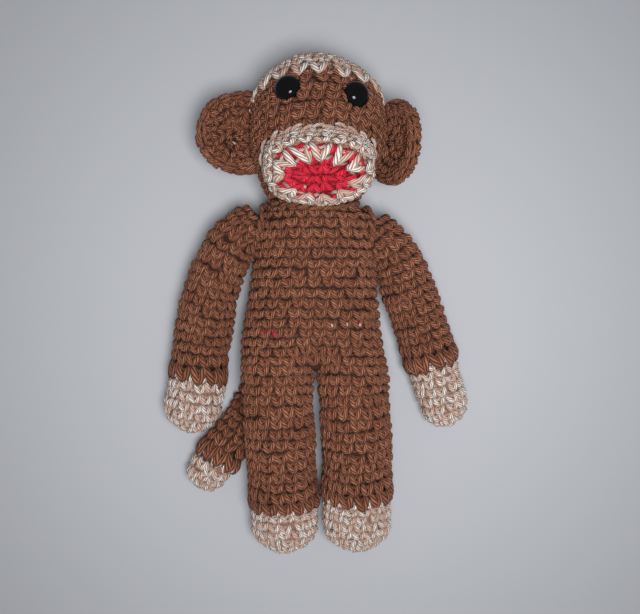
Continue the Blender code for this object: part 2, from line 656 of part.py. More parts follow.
def build():
    clear_scene()
    materials = {
        "brown": yarn_material("brown_yarn", BROWN),
        "cream": yarn_material("cream_yarn", CREAM),
        "red": yarn_material("red_yarn", RED),
        "black": yarn_material("eye_plastic", BLACK, 0.08),
        "white": yarn_material("washer_plastic", WHITE, 0.4),
        "fill": yarn_material("polyester_fill", WHITE),
    }
    table = table_cutter()
    neck = Vector((NECK_X, NECK_Y, NECK_Z))

    # Torso, with the seat left open
    torso = as_piece(shell("torso", torso_rings(0), torso_rings(-WALL)), materials["brown"])
    torso_stuffing = as_piece(skin("torso_stuffing", torso_rings(-(WALL + FILL_GAP))),
                              materials["fill"])
    cut(torso, table)

    # Head, cap and their stuffing, hollowed by the neck dome
    lower_head = [head_rings(-HEAD_NECK_REACH, CAP_START - GAP / 2, HEAD_ROUNDS, inflate)
                  for inflate in (0, -WALL)]
    head = as_piece(shell("head", *lower_head, closed_end=False), materials["brown"])
    crown = [cap_rings(CAP_START + GAP / 2, inflate) for inflate in (0, -WALL)]
    head_cap = as_piece(shell("head_cap", *crown), materials["cream"])
    head_stuffing = as_piece(head_solid("head_stuffing", -(WALL + FILL_GAP)), materials["fill"])
    neck_socket = ball("neck_socket", neck, NECK_BALL_RADIUS + GAP)
    chest_room = as_cutter(skin("chest_room", torso_rings(CHEST_GAP)))
    turn_about(chest_room, neck, -HEAD_NOD, "X")
    cut(head, neck_socket, chest_room, table)
    cut(head_cap, table)
    cut(head_stuffing, neck_socket, chest_room)

    # Muzzle, mouth and their stuffing, seated on the face
    head_cutter = as_cutter(head_solid("head_cutter", GAP))
    muzzle = as_piece(shell("muzzle", muzzle_rings(0), muzzle_rings(-WALL), closed_end=False),
                      materials["cream"])
    cut(muzzle, head_cutter)
    as_piece(shell("mouth", mouth_rings(0), mouth_rings(-WALL)), materials["red"])
    inner = muzzle_rings(-(WALL + FILL_GAP))[:-1] + [
        face_ring(MUZZLE_LENGTH - WALL - FILL_GAP, MOUTH_HALF_WIDTH, MOUTH_HALF_HEIGHT, MOUTH_DROP)]
    muzzle_stuffing = as_piece(skin("muzzle_stuffing", inner), materials["fill"])
    cut(muzzle_stuffing, head_cutter)
    muzzle_form = as_cutter(skin("muzzle_form", muzzle_rings(0)))

    for name, out, up in (("right", RIGHT_EYE_OUT, RIGHT_EYE_UP),
                          ("left", LEFT_EYE_OUT, LEFT_EYE_UP)):
        eye(name, out, up, materials, (head, head_cap), head_stuffing, head_cutter)
    ear("right", -1, RIGHT_EAR_DROP, RIGHT_EAR_TURN, materials, head_cutter)
    ear("left", 1, LEFT_EAR_DROP, LEFT_EAR_TURN, materials, head_cutter)

    # Arms: the torso and its stuffing are cut by each shoulder ball,
    # and the arm below the ball is kept clear of the torso's widest outline
    torso_form = as_cutter(skin("torso_form", torso_rings(0)))
    for name, side, x, shares, hand_share in (
            ("right", -1, RIGHT_SHOULDER_X, RIGHT_ARM_SHARES, RIGHT_HAND_START_SHARE),
            ("left", 1, LEFT_SHOULDER_X, LEFT_ARM_SHARES, LEFT_HAND_START_SHARE)):
        shoulder = Vector((x, SHOULDER_Y, SHOULDER_Z))
        arm = Limb(shoulder, ARM_LENGTH, ARM_HALF_WIDTH, shares, HAND_DOME, ARM_ROUNDS)
        socket = ball(name + "_shoulder_socket", shoulder, SHOULDER_BALL_RADIUS + GAP)
        cut(torso, socket)
        cut(torso_stuffing, socket)
        outline = as_cutter(skin(name + "_torso_outline", torso_rings(ARM_SIDE_GAP, 6.0)))
        cut(outline, ball(name + "_shoulder_keep", shoulder, SHOULDER_BALL_RADIUS))
        upper = as_piece(arm.upper(name + "_arm", hand_share), materials["brown"])
        hand = as_piece(arm.lower(name + "_hand", hand_share), materials["cream"])
        filling = as_piece(arm.stuffing(name + "_arm_stuffing"), materials["fill"])
        cut(upper, outline, table)
        cut(hand, table)
        cut(filling, outline)
        arm_form = as_cutter(arm.solid(name + "_arm_form"))
        crease_seam(name + "_shoulder_seam", shoulder, Vector((side, 0, 0)), torso_form, arm_form,
                    SHOULDER_SEAM_REACH, materials["brown"], 28, SHOULDER_SEAM_LIFT)

    # Legs: the hip band is the ring of rounds between the seat and the top of each leg
    for name, x, shares, foot_share in (
            ("right", RIGHT_HIP_X, RIGHT_LEG_SHARES, RIGHT_FOOT_START_SHARE),
            ("left", LEFT_HIP_X, LEFT_LEG_SHARES, LEFT_FOOT_START_SHARE)):
        hip = Vector((x, SEAT_Y - HIP_DROP, HIP_Z))
        leg = Limb(hip, LEG_LENGTH, LEG_HALF_WIDTH, shares, FOOT_DOME, LEG_ROUNDS)
        socket = ball(name + "_hip_socket", hip, HIP_BALL_RADIUS + GAP)
        cut(torso, socket)
        cut(torso_stuffing, socket)
        band_rings = []
        for share in (0, 0.5, 1):
            along = (SEAT_Y - GAP) * (1 - share) + (SEAT_Y - HIP_DROP + HIP_BAND_END) * share
            deep = HIP_BAND_DEPTH + (HIP_BAND_WIDTH - HIP_BAND_DEPTH) * share
            band_rings.append(ring(Vector((x, along, HIP_Z)), Vector((0, -1, 0)), HIP_BAND_WIDTH,
                                   deep, LIMB_SIDES))
        band = as_piece(skin(name + "_hip", band_rings), materials["brown"])
        cut(band, socket)
        upper = as_piece(leg.upper(name + "_leg", foot_share), materials["brown"])
        foot = as_piece(leg.lower(name + "_foot", foot_share), materials["cream"])
        as_piece(leg.stuffing(name + "_leg_stuffing"), materials["fill"])
        cut(upper, table)
        cut(foot, table)
        if name == "right":
            right_leg = leg

    # Tail: its root is sewn under the seat, and its free end starts in a flattened ball
    sizes = (Vector((TAIL_X, TAIL_Y, TAIL_Z)), TAIL_LENGTH, TAIL_HALF_WIDTH, TAIL_SHARES,
             TAIL_TIP_DOME, TAIL_ROUNDS)
    root, tail = Limb(*sizes), Limb(*sizes, start=TAIL_BEND_SHARE)
    cut(torso, as_cutter(root.solid("tail_room", GAP)))
    cut(torso_stuffing, ball("tail_socket", root.root, root.half_sizes(0, GAP)[0]))
    bend = tail.centre(TAIL_BEND_SHARE)
    wide, deep = tail.half_sizes(TAIL_BEND_SHARE, 0)
    forward = tail.forward(TAIL_BEND_SHARE)
    axis = forward.cross(UP.cross(forward)).normalized()
    bend_socket = ball("tail_bend_socket", bend, wide / math.cos(TAIL_BEND) + GAP, deep + GAP,
                       forward)
    root_tube = as_piece(root.upper("tail_root", TAIL_BEND_SHARE), materials["brown"])
    root_filling = as_piece(root.stuffing("tail_root_stuffing", TAIL_BEND_SHARE),
                            materials["fill"])
    cut(root_tube, bend_socket)
    cut(root_filling, bend_socket)
    upper = as_piece(tail.upper("tail", TAIL_TIP_START_SHARE), materials["brown"])
    tip = as_piece(tail.lower("tail_tip", TAIL_TIP_START_SHARE), materials["cream"])
    filling = as_piece(tail.stuffing("tail_stuffing"), materials["fill"])
    for place, turn in (("rest", 0), ("bent", -TAIL_BEND)):
        leg_cutter = as_cutter(right_leg.solid(f"tail_leg_{place}_cutter", GAP))
        turn_about(leg_cutter, bend, turn, axis)
        cut(upper, leg_cutter)
        cut(filling, leg_cutter)
    cut(upper, table)
    cut(tip, table)

    # Sewing yarn round the neck and the muzzle
    crease_seam("neck_seam", neck, Vector((0, 1, 0)), torso_form, head_cutter,
                NECK_BALL_RADIUS, materials["brown"])
    outward, up_face = face_axes()
    muzzle_middle = Vector((HEAD_X, HEAD_Y, HEAD_Z)) - up_face * MUZZLE_DROP
    crease_seam("muzzle_seam", muzzle_middle, outward, head_cutter, muzzle_form,
                HEAD_RADIUS, materials["cream"])


build()
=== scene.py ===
import math

import bpy
import numpy as np
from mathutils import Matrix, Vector
from mathutils.bvhtree import BVHTree


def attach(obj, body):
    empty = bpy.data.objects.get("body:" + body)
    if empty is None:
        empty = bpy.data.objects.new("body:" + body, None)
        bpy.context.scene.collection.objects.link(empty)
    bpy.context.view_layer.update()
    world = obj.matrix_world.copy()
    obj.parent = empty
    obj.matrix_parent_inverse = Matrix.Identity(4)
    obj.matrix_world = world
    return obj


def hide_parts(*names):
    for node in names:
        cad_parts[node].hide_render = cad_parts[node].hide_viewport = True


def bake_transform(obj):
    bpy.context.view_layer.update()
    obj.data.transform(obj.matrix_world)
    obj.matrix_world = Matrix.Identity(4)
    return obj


# The looks of a crocheted sock monkey doll that lies on its back on a table.
# +Z points up out of the chest, +Y towards the head, and +X to the doll's own left side.
# Sizes are in metres. Each stuffed form is worked in rounds of single crochet over a lining.

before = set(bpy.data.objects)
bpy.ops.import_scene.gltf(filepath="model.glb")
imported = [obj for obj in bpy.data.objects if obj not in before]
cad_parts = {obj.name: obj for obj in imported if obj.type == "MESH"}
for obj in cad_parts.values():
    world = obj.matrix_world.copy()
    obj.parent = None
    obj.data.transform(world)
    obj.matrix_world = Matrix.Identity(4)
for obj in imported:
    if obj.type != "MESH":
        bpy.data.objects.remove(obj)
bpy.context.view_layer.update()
bpy.ops.object.select_all(action="DESELECT")

# The yarn, a stitch and a round, and how far under a form's outline stitches and lining lie
STITCH_WIDTH = 0.0069
ROUND_HEIGHT = 0.0050
YARN_RADIUS = 0.00122
YARN_SQUASH = 0.85
STITCH_SIDES = 6
LOOP_SIDES = 5
SURFACE_DEPTH = 0.0019
LINING_DEPTH = 0.0024

# Points in each closed ring of a form
AROUND = 72

# How the stuffing pushes the fabric out: its height, and waves as (axis, waves a metre, phase)
LUMP_HEIGHT = 0.0004
LUMP_PEAK = 1.5
LUMP_WAVES = (((0, 210, 1.3), (1, 170, 0.4)), ((1, 190, 2.1), (2, 230, 0.7)),
              ((2, 160, 1.9), (0, 250, 2.8)))

# Torso, from the seat up over the shoulders to the neck dome. An arc is the first and last
# angle in degrees and the number of rings.
TORSO_LENGTH = 0.0748
TORSO_HALF_WIDTH = 0.0328
TORSO_HALF_DEPTH = 0.0255
TORSO_X = -0.0013
TORSO_Z = 0.0250
TORSO_RINGS = 80
SEAT_Y = -0.0288
SEAT_BLEND = 0.0140
SEAT_SKIRT = 0.0030
SEAT_DOME = 0.0040
SEAT_OVERLAP = 0.0016
SEAT_ARC = (4, 80, 14)
NECK = np.array((-0.0012, 0.0372, 0.0243))
NECK_BALL_RADIUS = 0.0270
NECK_ARC = (64, 2, 30)
# Share of the length, the two half-widths, sideways drift and rise of the torso's rounds
TORSO_SHARES = (
    (0.000, 1.134, 0.804, 0.012, 0.196),
    (0.110, 1.115, 0.860, -0.010, 0.150),
    (0.240, 1.080, 0.930, -0.015, 0.075),
    (0.400, 1.020, 0.985, -0.005, 0.010),
    (0.560, 0.995, 1.000, 0.010, 0.000),
    (0.760, 0.975, 1.000, 0.050, 0.000),
    (0.880, 0.940, 0.995, 0.055, 0.000),
    (1.000, 0.885, 0.985, 0.050, 0.000),
)

# Head: its rounds tilt from the neck to the cap, by degrees at places along it
HEAD = np.array((0.0018, 0.0929, 0.0343))
HEAD_RADIUS = 0.0348
HEAD_CROWN_LENGTH = 0.0344
CROWN_LEAN = -0.0022
HEAD_JAW_LENGTH = 0.0520
HEAD_NECK_REACH = 0.0420
HEAD_NECK_TRIM = 0.0022
HEAD_RINGS = 70
HEAD_SURFACE_RINGS = 44
CROWN_SURFACE_ARC = (4, 89.5, 44)
CROWN_ARC = (0, 88, 40)
CAP_START = 0.0080
CAP_TILT = math.radians(30)
NECK_TILT = math.radians(-12)
HEAD_ROUND_TILTS = ((-0.0400, -0.0280, -0.0150, 0.0080), (-2, 9, 21, 30))

# Muzzle and mouth. A squareness of 2 is an ellipse.
MUZZLE_HALF_WIDTH = 0.0264
MUZZLE_HALF_HEIGHT = 0.0191
MUZZLE_DROP = 0.0045
MUZZLE_LENGTH = 0.0118
MUZZLE_ROOT_DEPTH = 0.0170
MUZZLE_TILT = math.radians(36)
MUZZLE_CHEEK = 0.0008
MUZZLE_CHIN = 0.0012
MUZZLE_SQUARENESS = 2.5
MUZZLE_RINGS = 100
# Share of the muzzle's length, of its size, and of the way to the mouth's drop
MUZZLE_SIDE_SHARES = ((0.78, 0.93, 0.8), (0.42, 0.985, 0.2), (0.0, 1.0, 0.0))
MUZZLE_ROOT_SHARES = (0.3, 0.6, 0.9)
MOUTH_HALF_WIDTH = 0.0212
MOUTH_HALF_HEIGHT = 0.0142
MOUTH_DROP = 0.0034
MOUTH_DOME = 0.0028
MOUTH_DEGREES = (75, 60, 45, 30, 15, 0)
MOUTH_CHAIN_HALF = 0.0080
MOUTH_CHAIN_THICKNESS = 0.0006
MOUTH_SQUARENESS = 2.0
MOUTH_SQUARING = 0.2
MOUTH_END = 0.0158

# Ears: side of the head, drop and turn. The profile goes from the middle of the hollow front
# over the rim to the back, as shares of the half size and of the rim's radius.
EAR_RIM_RADIUS = 0.0043
EAR_HALF_SIZE = 0.0232
EAR_HALF_HEIGHT = 0.0212
EAR_HOLLOW_SHIFT = 0.0045
EAR_ROOT_DEPTH = 0.0003
EAR_OVERHANG = 0.0042
EARS = {"right": (-1, 0.0054, math.radians(8)), "left": (1, 0.0108, math.radians(61))}
EAR_FRONT_SHARES = ((0.00, -0.35), (0.35, -0.25), (0.62, 0.35), (0.80, 0.90))
EAR_RIM_DEGREES = (60, 25, -10, -45)
EAR_BACK_SHARES = ((0.80, -1.00), (0.40, -1.30), (0.00, -1.35))
EAR_SPAN = (0.004, 0.996, 90)

# Arms, legs and tail: routes across, along and up, and half-widths, as shares of length and
# half-width. A start is the share of the length at which the cream rounds give way to brown.
LIMB_RINGS = 90
LIMB_AHEAD = 0.05
LIMB_BALL_ARC = (2, 84, 20)
LIMB_TIP_ARC = (4, 88, 24)
ARM_LENGTH = 0.1160
ARM_HALF_WIDTH = 0.0135
SHOULDERS = {"right": (-0.0355, 0.0388, 0.0250), "left": (0.0345, 0.0388, 0.0250)}
HAND_DOME = 0.0140
HAND_STARTS = {"right": 0.765, "left": 0.703}
ARM_SHARES = {
    "right": (
        (0.000, 0.000, 0.000, 0.948, 0.948),
        (-0.062, -0.058, 0.000, 0.980, 0.980),
        (-0.127, -0.180, -0.012, 1.040, 1.040),
        (-0.167, -0.300, -0.030, 1.080, 1.070),
        (-0.196, -0.440, -0.052, 1.090, 1.080),
        (-0.215, -0.575, -0.070, 1.090, 1.080),
        (-0.229, -0.680, -0.082, 1.100, 1.080),
        (-0.250, -0.786, -0.094, 1.130, 1.090),
    ),
    "left": (
        (-0.010, -0.022, 0.000, 0.820, 0.880),
        (0.032, -0.078, 0.000, 0.900, 0.920),
        (0.082, -0.168, -0.012, 0.975, 0.975),
        (0.124, -0.290, -0.034, 1.040, 1.030),
        (0.174, -0.420, -0.060, 1.060, 1.040),
        (0.216, -0.560, -0.082, 1.040, 1.020),
        (0.249, -0.660, -0.097, 0.985, 0.980),
        (0.279, -0.765, -0.107, 0.915, 0.915),
    ),
}
LEG_LENGTH = 0.0695
LEG_HALF_WIDTH = 0.0182
HIPS = {"right": (-0.0193, -0.0446, 0.0300), "left": (0.0194, -0.0446, 0.0300)}
HIP_BAND_WIDTH = 0.0186
HIP_BAND_DEPTH = 0.0205
HIP_BAND_END = 0.0040
CROTCH_SHARE = 0.50
LEG_TOP_SHIFT = {"right": 0.0, "left": -0.0010}
LEG_TOP_TRIM = {"right": 0.0, "left": 0.0008}
LEG_TOP_OVERLAP = 0.0050
LEG_TOP_RINGS = 18
FOOT_DOME = 0.0142
FOOT_STARTS = {"right": 0.712, "left": 0.643}
LEG_SHARES = {
    "right": (
        (0.000, 0.000, 0.000, 1.000, 1.000),
        (0.004, -0.160, -0.004, 1.005, 1.000),
        (0.018, -0.420, -0.050, 0.990, 0.990),
        (0.034, -0.680, -0.125, 0.985, 0.985),
        (0.042, -0.850, -0.170, 0.965, 0.965),
        (0.045, -1.000, -0.190, 0.955, 0.950),
    ),
    "left": (
        (0.000, 0.000, 0.000, 1.000, 1.000),
        (0.012, -0.160, -0.006, 1.000, 1.000),
        (0.028, -0.420, -0.060, 0.985, 0.985),
        (0.032, -0.680, -0.130, 0.980, 0.980),
        (0.032, -0.850, -0.172, 0.975, 0.970),
        (0.032, -0.990, -0.189, 0.965, 0.955),
    ),
}
TAIL_LENGTH = 0.0830
TAIL_HALF_WIDTH = 0.0115
TAIL_ROOT = (-0.0120, -0.0220, 0.0068)
TAIL_TIP_DOME = 0.0085
TAIL_TIP_START = 0.795
TAIL_SHARES = (
    (0.000, 0.000, 0.000, 0.600, 0.600),
    (-0.066, -0.082, -0.026, 0.820, 0.360),
    (-0.139, -0.187, -0.020, 1.000, 0.420),
    (-0.223, -0.337, -0.010, 1.060, 0.480),
    (-0.307, -0.476, 0.008, 1.040, 0.600),
    (-0.410, -0.602, 0.037, 1.010, 0.900),
    (-0.494, -0.717, 0.047, 0.980, 0.970),
    (-0.548, -0.801, 0.041, 0.930, 0.930),
)

UP = np.array((0.0, 0.0, 1.0))
ACROSS = np.array((1.0, 0.0, 0.0))
TOWARDS_FEET = np.array((0.0, -1.0, 0.0))
TINY = 1e-9
ANGLES = np.arange(AROUND) * math.tau / AROUND
COS, SIN = np.cos(ANGLES), np.sin(ANGLES)


# Shapes: rings of points, from where the crochet of each form starts

def unit(vector):
    return vector / np.linalg.norm(vector)


def arc(first, last, count):
    return np.radians(np.linspace(first, last, count))


def tilted(angle):
    """The direction up the doll's length, tilted down towards the table by an angle."""
    return np.array((0, math.cos(angle), -math.sin(angle)))


def smooth_rows(rows, shares):
    """Read a table at shares of its length along a smooth curve through its rows."""
    rows = np.array(rows, float)
    spans = len(rows) - 1
    place = np.clip(np.atleast_1d(shares), 0, 1) * spans
    first = np.minimum(place.astype(int), spans - 1)
    part = (place - first)[:, None]
    a, b, c, d = (rows[np.clip(first + step, 0, spans)] for step in (-1, 0, 1, 2))
    return 0.5 * (2 * b + (c - a) * part + (2 * a - 5 * b + 4 * c - d) * part**2
                  + (3 * b - a - 3 * c + d) * part**3)


def ring(centre, forward, half_width, half_depth):
    """Return one closed ring of points about a forward direction."""
    across = unit(np.cross(UP, forward))
    above = unit(np.cross(forward, across))
    return centre + across * half_width * COS[:, None] + above * half_depth * SIN[:, None]


def distances(path):
    """Return how far along a path each of its points lies."""
    return np.concatenate(([0], np.cumsum(np.linalg.norm(np.diff(path, axis=0), axis=1))))


def even_ring(points):
    """Space the points of a closed ring evenly, from the same first point."""
    closed = np.concatenate((points, points[:1]))
    place = distances(closed)
    even = np.arange(AROUND) * place[-1] / AROUND
    return np.stack([np.interp(even, place, closed[:, axis]) for axis in range(3)], axis=1)


def quads_between(rows, sides):
    """Return the faces between closed rings of points, row after row."""
    faces = []
    for row in range(rows - 1):
        for side in range(sides):
            after = (side + 1) % sides
            low, high = row * sides, (row + 1) * sides
            faces.append((low + side, low + after, high + after, high + side))
    return faces


def lumps(points):
    """How far the stuffing pushes the fabric out at points, as gentle waves through space."""
    waves = sum(np.sin(first[1] * points[..., first[0]] + first[2])
                * np.sin(second[1] * points[..., second[0]] + second[2])
                for first, second in LUMP_WAVES)
    return waves * LUMP_HEIGHT / LUMP_PEAK


class Form:
    """A closed soft surface made of rings of points, with a pole at each end."""

    def __init__(self, rings):
        grid = np.array([even_ring(np.array(points)) for points in rings])
        if enclosed(grid) < 0:
            grid = grid[:, ::-1]
        steps = np.linalg.norm(np.diff(grid, axis=0), axis=2).mean(axis=1)
        self.along = np.concatenate(([0], np.cumsum(steps)))
        self.length = self.along[-1]
        around = np.roll(grid, -1, axis=1) - grid
        self.girths = np.linalg.norm(around, axis=2).sum(axis=1)
        ahead = np.gradient(grid, axis=0)
        around = np.roll(grid, -1, axis=1) - np.roll(grid, 1, axis=1)
        normals = np.cross(around, ahead)
        size = np.linalg.norm(normals, axis=2, keepdims=True)
        self.normals = normals / np.maximum(size, 1e-12)
        self.grid = grid + self.normals * lumps(grid)[..., None]

    def girth(self, along):
        return float(np.interp(along, self.along, self.girths))

    def nearest_along(self, point):
        """Distance along the form of the ring whose middle is nearest to a point."""
        middles = self.grid.mean(axis=1)
        return self.along[np.argmin(np.linalg.norm(middles - np.array(point), axis=1))]

    def at(self, along, turn, lift):
        """Points at distances along and above the surface, turn counting once round."""
        row = np.interp(along, self.along, np.arange(len(self.along)))
        low = np.minimum(row.astype(int), len(self.along) - 2)
        part = (row - low)[..., None]
        column = np.mod(turn, 1) * AROUND
        left = column.astype(int) % AROUND
        side = (column - np.floor(column))[..., None]
        right = (left + 1) % AROUND
        values = []
        for field in (self.grid, self.normals):
            near = field[low, left] * (1 - side) + field[low, right] * side
            far = field[low + 1, left] * (1 - side) + field[low + 1, right] * side
            values.append(near * (1 - part) + far * part)
        place, normal = values
        normal /= np.maximum(np.linalg.norm(normal, axis=-1, keepdims=True), 1e-12)
        return place + normal * lift[..., None]


def enclosed(grid):
    """Signed volume inside a form, positive where around crossed with ahead points out."""
    after = np.roll(grid[:-1], -1, axis=1)
    a, b, c, d = grid[:-1], after, np.roll(grid[1:], -1, axis=1), grid[1:]
    middle = grid.reshape(-1, 3).mean(axis=0)
    volume = 0.0
    for p, q, r in ((a, b, c), (a, c, d)):
        volume += np.einsum("ijk,ijk->", p - middle, np.cross(q - middle, r - middle))
    return volume


def limb_place(root, length, shares, share):
    """Return the middle of a limb at a share of its length."""
    return np.array(root) + smooth_rows(shares, share)[0][:3] * length


def limb_rings(root, length, half_width, shares, dome, ball=True):
    """Rings of a limb from the ball at its root to its domed tip."""
    def middle(share):
        return limb_place(root, length, shares, share)

    def sizes(share):
        return smooth_rows(shares, share)[0][3:] * half_width

    def forward(share):
        return unit(middle(min(share + LIMB_AHEAD, 1)) - middle(max(share - LIMB_AHEAD, 0)))

    rings = []
    if ball:
        wide, deep = sizes(0)
        for angle in arc(*LIMB_BALL_ARC):
            rings.append(ring(middle(0) - forward(0) * wide * math.cos(angle), forward(0),
                              wide * math.sin(angle), deep * math.sin(angle)))
    for share in np.linspace(0, 1, LIMB_RINGS):
        rings.append(ring(middle(share), forward(share), *sizes(share)))
    wide, deep = sizes(1)
    for angle in arc(*LIMB_TIP_ARC):
        rings.append(ring(middle(1) + forward(1) * dome * math.sin(angle), forward(1),
                          wide * math.cos(angle), deep * math.cos(angle)))
    return rings


def leg_top(side, share):
    """Middle x and half-width of a leg's rounds, share going from the seat to the hip."""
    return (HIPS[side][0] + LEG_TOP_SHIFT[side] * (1 - share),
            HIP_BAND_WIDTH - LEG_TOP_TRIM[side] * (1 - share))


def seat_reach(angle, middle_x):
    """Distance from the middle of the seat to the outline of the two leg tops together."""
    way = np.array((math.cos(angle), math.sin(angle)))
    reach = CROTCH_SHARE * HIP_BAND_DEPTH
    for side in HIPS:
        centre, wide = leg_top(side, 0)
        size = np.array((wide, HIP_BAND_DEPTH))
        start = np.array((middle_x - centre, 0)) / size
        slope = way / size
        a, b, c = slope @ slope, start @ slope, start @ start - 1
        if b * b > a * c:
            reach = max(reach, (-b + math.sqrt(b * b - a * c)) / a)
    return reach


def torso_form():
    """The torso from the closed seat over the belly to the dome under the head."""
    seat_x = TORSO_X + TORSO_SHARES[0][3] * TORSO_HALF_WIDTH
    spread = np.array([seat_reach(angle, seat_x) for angle in ANGLES])
    spread = (np.roll(spread, 1) + 2 * spread + np.roll(spread, -1)) / 4
    ways = np.stack((COS, np.zeros(AROUND), SIN), axis=1)

    def belly_ring(along):
        place, wide, deep, drift, rise = smooth_rows(TORSO_SHARES, along)[0]
        centre = np.array((TORSO_X + drift * TORSO_HALF_WIDTH, SEAT_Y + place * TORSO_LENGTH,
                           TORSO_Z + rise * TORSO_HALF_DEPTH))
        oval = 1 / np.sqrt((COS / (wide * TORSO_HALF_WIDTH)) ** 2
                           + (SIN / (deep * TORSO_HALF_DEPTH)) ** 2)
        share = min(place * TORSO_LENGTH / SEAT_BLEND, 1)
        share = share * share * (3 - 2 * share)
        return centre, ways * (spread * (1 - share) + oval * share)[:, None]

    centre, reach = belly_ring(0)
    rings = [centre - np.array((0, SEAT_SKIRT + SEAT_DOME * math.cos(angle), 0))
             + reach * math.sin(angle) for angle in arc(*SEAT_ARC)]
    rings += [centre - np.array((0, skirt, 0)) + reach
              for skirt in np.linspace(SEAT_SKIRT, 0, 4)[:-1]]
    for along in np.linspace(0, 1, TORSO_RINGS):
        centre, reach = belly_ring(along)
        rings.append(centre + reach)
    rings += [NECK + np.array((0, NECK_BALL_RADIUS * math.cos(angle), 0))
              + ways * NECK_BALL_RADIUS * math.sin(angle) for angle in arc(*NECK_ARC)]
    return Form(rings)


def head_middle(along):
    """Return the middle and the forward direction of the head at a distance from its widest."""
    lean = (NECK[0] - HEAD[0]) * (min(along, 0) / HEAD_NECK_REACH) ** 2
    lean += CROWN_LEAN * (max(along, 0) / HEAD_CROWN_LENGTH)
    share = np.clip((along + HEAD_NECK_REACH) / (CAP_START + HEAD_NECK_REACH), 0, 1)
    forward = tilted(NECK_TILT + (CAP_TILT - NECK_TILT) * share)
    return HEAD + np.array((lean, 0, 0)) + forward * along, forward


def head_ring(along):
    half_length = HEAD_CROWN_LENGTH if along > 0 else HEAD_JAW_LENGTH
    wide = HEAD_RADIUS * math.sqrt(max(1 - (along / half_length) ** 2, 0))
    return ring(*head_middle(along), wide, wide)


def head_surface():
    """The head's outline as packed, for the rounds of crochet to be laid on."""
    crown = HEAD_CROWN_LENGTH * np.sin(arc(*CROWN_SURFACE_ARC))
    jaw = np.linspace(-HEAD_NECK_REACH, 0, HEAD_SURFACE_RINGS)
    rings = [head_ring(along) for along in np.concatenate((jaw, crown))]
    return BVHTree.FromPolygons(np.concatenate(rings).tolist(),
                                quads_between(len(rings), AROUND))


def head_form():
    """The head from the neck to the crown, its rounds tilting as the crochet does."""
    surface = head_surface()
    rings = []
    for along in np.linspace(-HEAD_NECK_REACH + HEAD_NECK_TRIM, CAP_START, HEAD_RINGS):
        middle = head_middle(along)[0]
        rays = ring(middle, tilted(math.radians(float(np.interp(along, *HEAD_ROUND_TILTS)))), 1, 1)
        hits = [surface.ray_cast(Vector(middle), Vector(place - middle))[0] for place in rays]
        points = [np.array(hit) if hit else None for hit in hits]
        known = [index for index, point in enumerate(points) if point is not None]
        for index, point in enumerate(points):
            if point is None:
                nearest = min(known, key=lambda k: min(abs(k - index), AROUND - abs(k - index)))
                size = np.linalg.norm(points[nearest] - middle)
                points[index] = middle + (rays[index] - middle) * size
        rings.append(np.array(points))
    for share in np.sin(arc(*CROWN_ARC))[1:]:
        rings.append(head_ring(CAP_START + (HEAD_CROWN_LENGTH - CAP_START) * share))
    return Form(rings)


def muzzle_form():
    """The muzzle from the chain in the mouth out over its edge and back into the head."""
    outward = np.array((0, -math.sin(MUZZLE_TILT), math.cos(MUZZLE_TILT)))
    up_face = np.array((0, math.cos(MUZZLE_TILT), math.sin(MUZZLE_TILT)))
    rows = [(MUZZLE_LENGTH + MOUTH_DOME, MOUTH_CHAIN_HALF, MOUTH_CHAIN_THICKNESS, MOUTH_DROP,
             MOUTH_SQUARENESS)]
    for degrees in MOUTH_DEGREES:
        angle = math.radians(degrees)
        size = math.cos(angle)
        rows.append((MUZZLE_LENGTH + MOUTH_DOME * math.sin(angle),
                     MOUTH_CHAIN_HALF + (MOUTH_HALF_WIDTH - MOUTH_CHAIN_HALF) * size,
                     MOUTH_HALF_HEIGHT * size, MOUTH_DROP,
                     MOUTH_SQUARENESS + MOUTH_SQUARING * size))
    wide, high = MUZZLE_HALF_WIDTH + MUZZLE_CHEEK, MUZZLE_HALF_HEIGHT + MUZZLE_CHEEK
    low = MUZZLE_DROP + MUZZLE_CHIN
    for place, size, shift in MUZZLE_SIDE_SHARES:
        rows.append((place * MUZZLE_LENGTH, size * wide, size * high,
                     low + (MOUTH_DROP - low) * shift, MUZZLE_SQUARENESS))
    for place in MUZZLE_ROOT_SHARES:
        rows.append((-place * MUZZLE_ROOT_DEPTH, wide, high, low, MUZZLE_SQUARENESS))
    rings = []
    for along, wide, high, drop, power in smooth_rows(rows, np.linspace(0, 1, MUZZLE_RINGS)):
        round_off = (np.abs(COS) ** power + np.abs(SIN) ** power) ** (-1 / power)
        centre = HEAD + outward * (HEAD_RADIUS + along) - up_face * drop
        rings.append(centre + ACROSS * (wide * COS * round_off)[:, None]
                     + up_face * (high * SIN * round_off)[:, None])
    return Form(rings)


def ear_form(side, drop, turn_angle):
    """An ear from the middle of its hollow front over the rim to its back."""
    root = HEAD + np.array((side * (HEAD_RADIUS - EAR_ROOT_DEPTH), -drop, 0))
    cos, sin = math.cos(-side * turn_angle), math.sin(-side * turn_angle)
    turn = np.array(((cos, 0, sin), (0, 1, 0), (-sin, 0, cos)))
    rim = EAR_RIM_RADIUS / EAR_HALF_SIZE
    profile = list(EAR_FRONT_SHARES)
    for degrees in EAR_RIM_DEGREES:
        angle = math.radians(degrees)
        profile.append((1 - rim + rim * math.cos(angle), math.sin(angle)))
    profile += EAR_BACK_SHARES
    rings = []
    for share, rise in smooth_rows(profile, np.linspace(*EAR_SPAN)):
        middle = EAR_ROOT_DEPTH + EAR_OVERHANG + EAR_HOLLOW_SHIFT * (1 - share)
        local = np.stack((side * middle + EAR_HALF_SIZE * share * COS,
                          EAR_HALF_HEIGHT * share * SIN,
                          np.full(AROUND, rise * EAR_RIM_RADIUS)), axis=1)
        rings.append(root + local @ turn.T)
    return Form(rings)


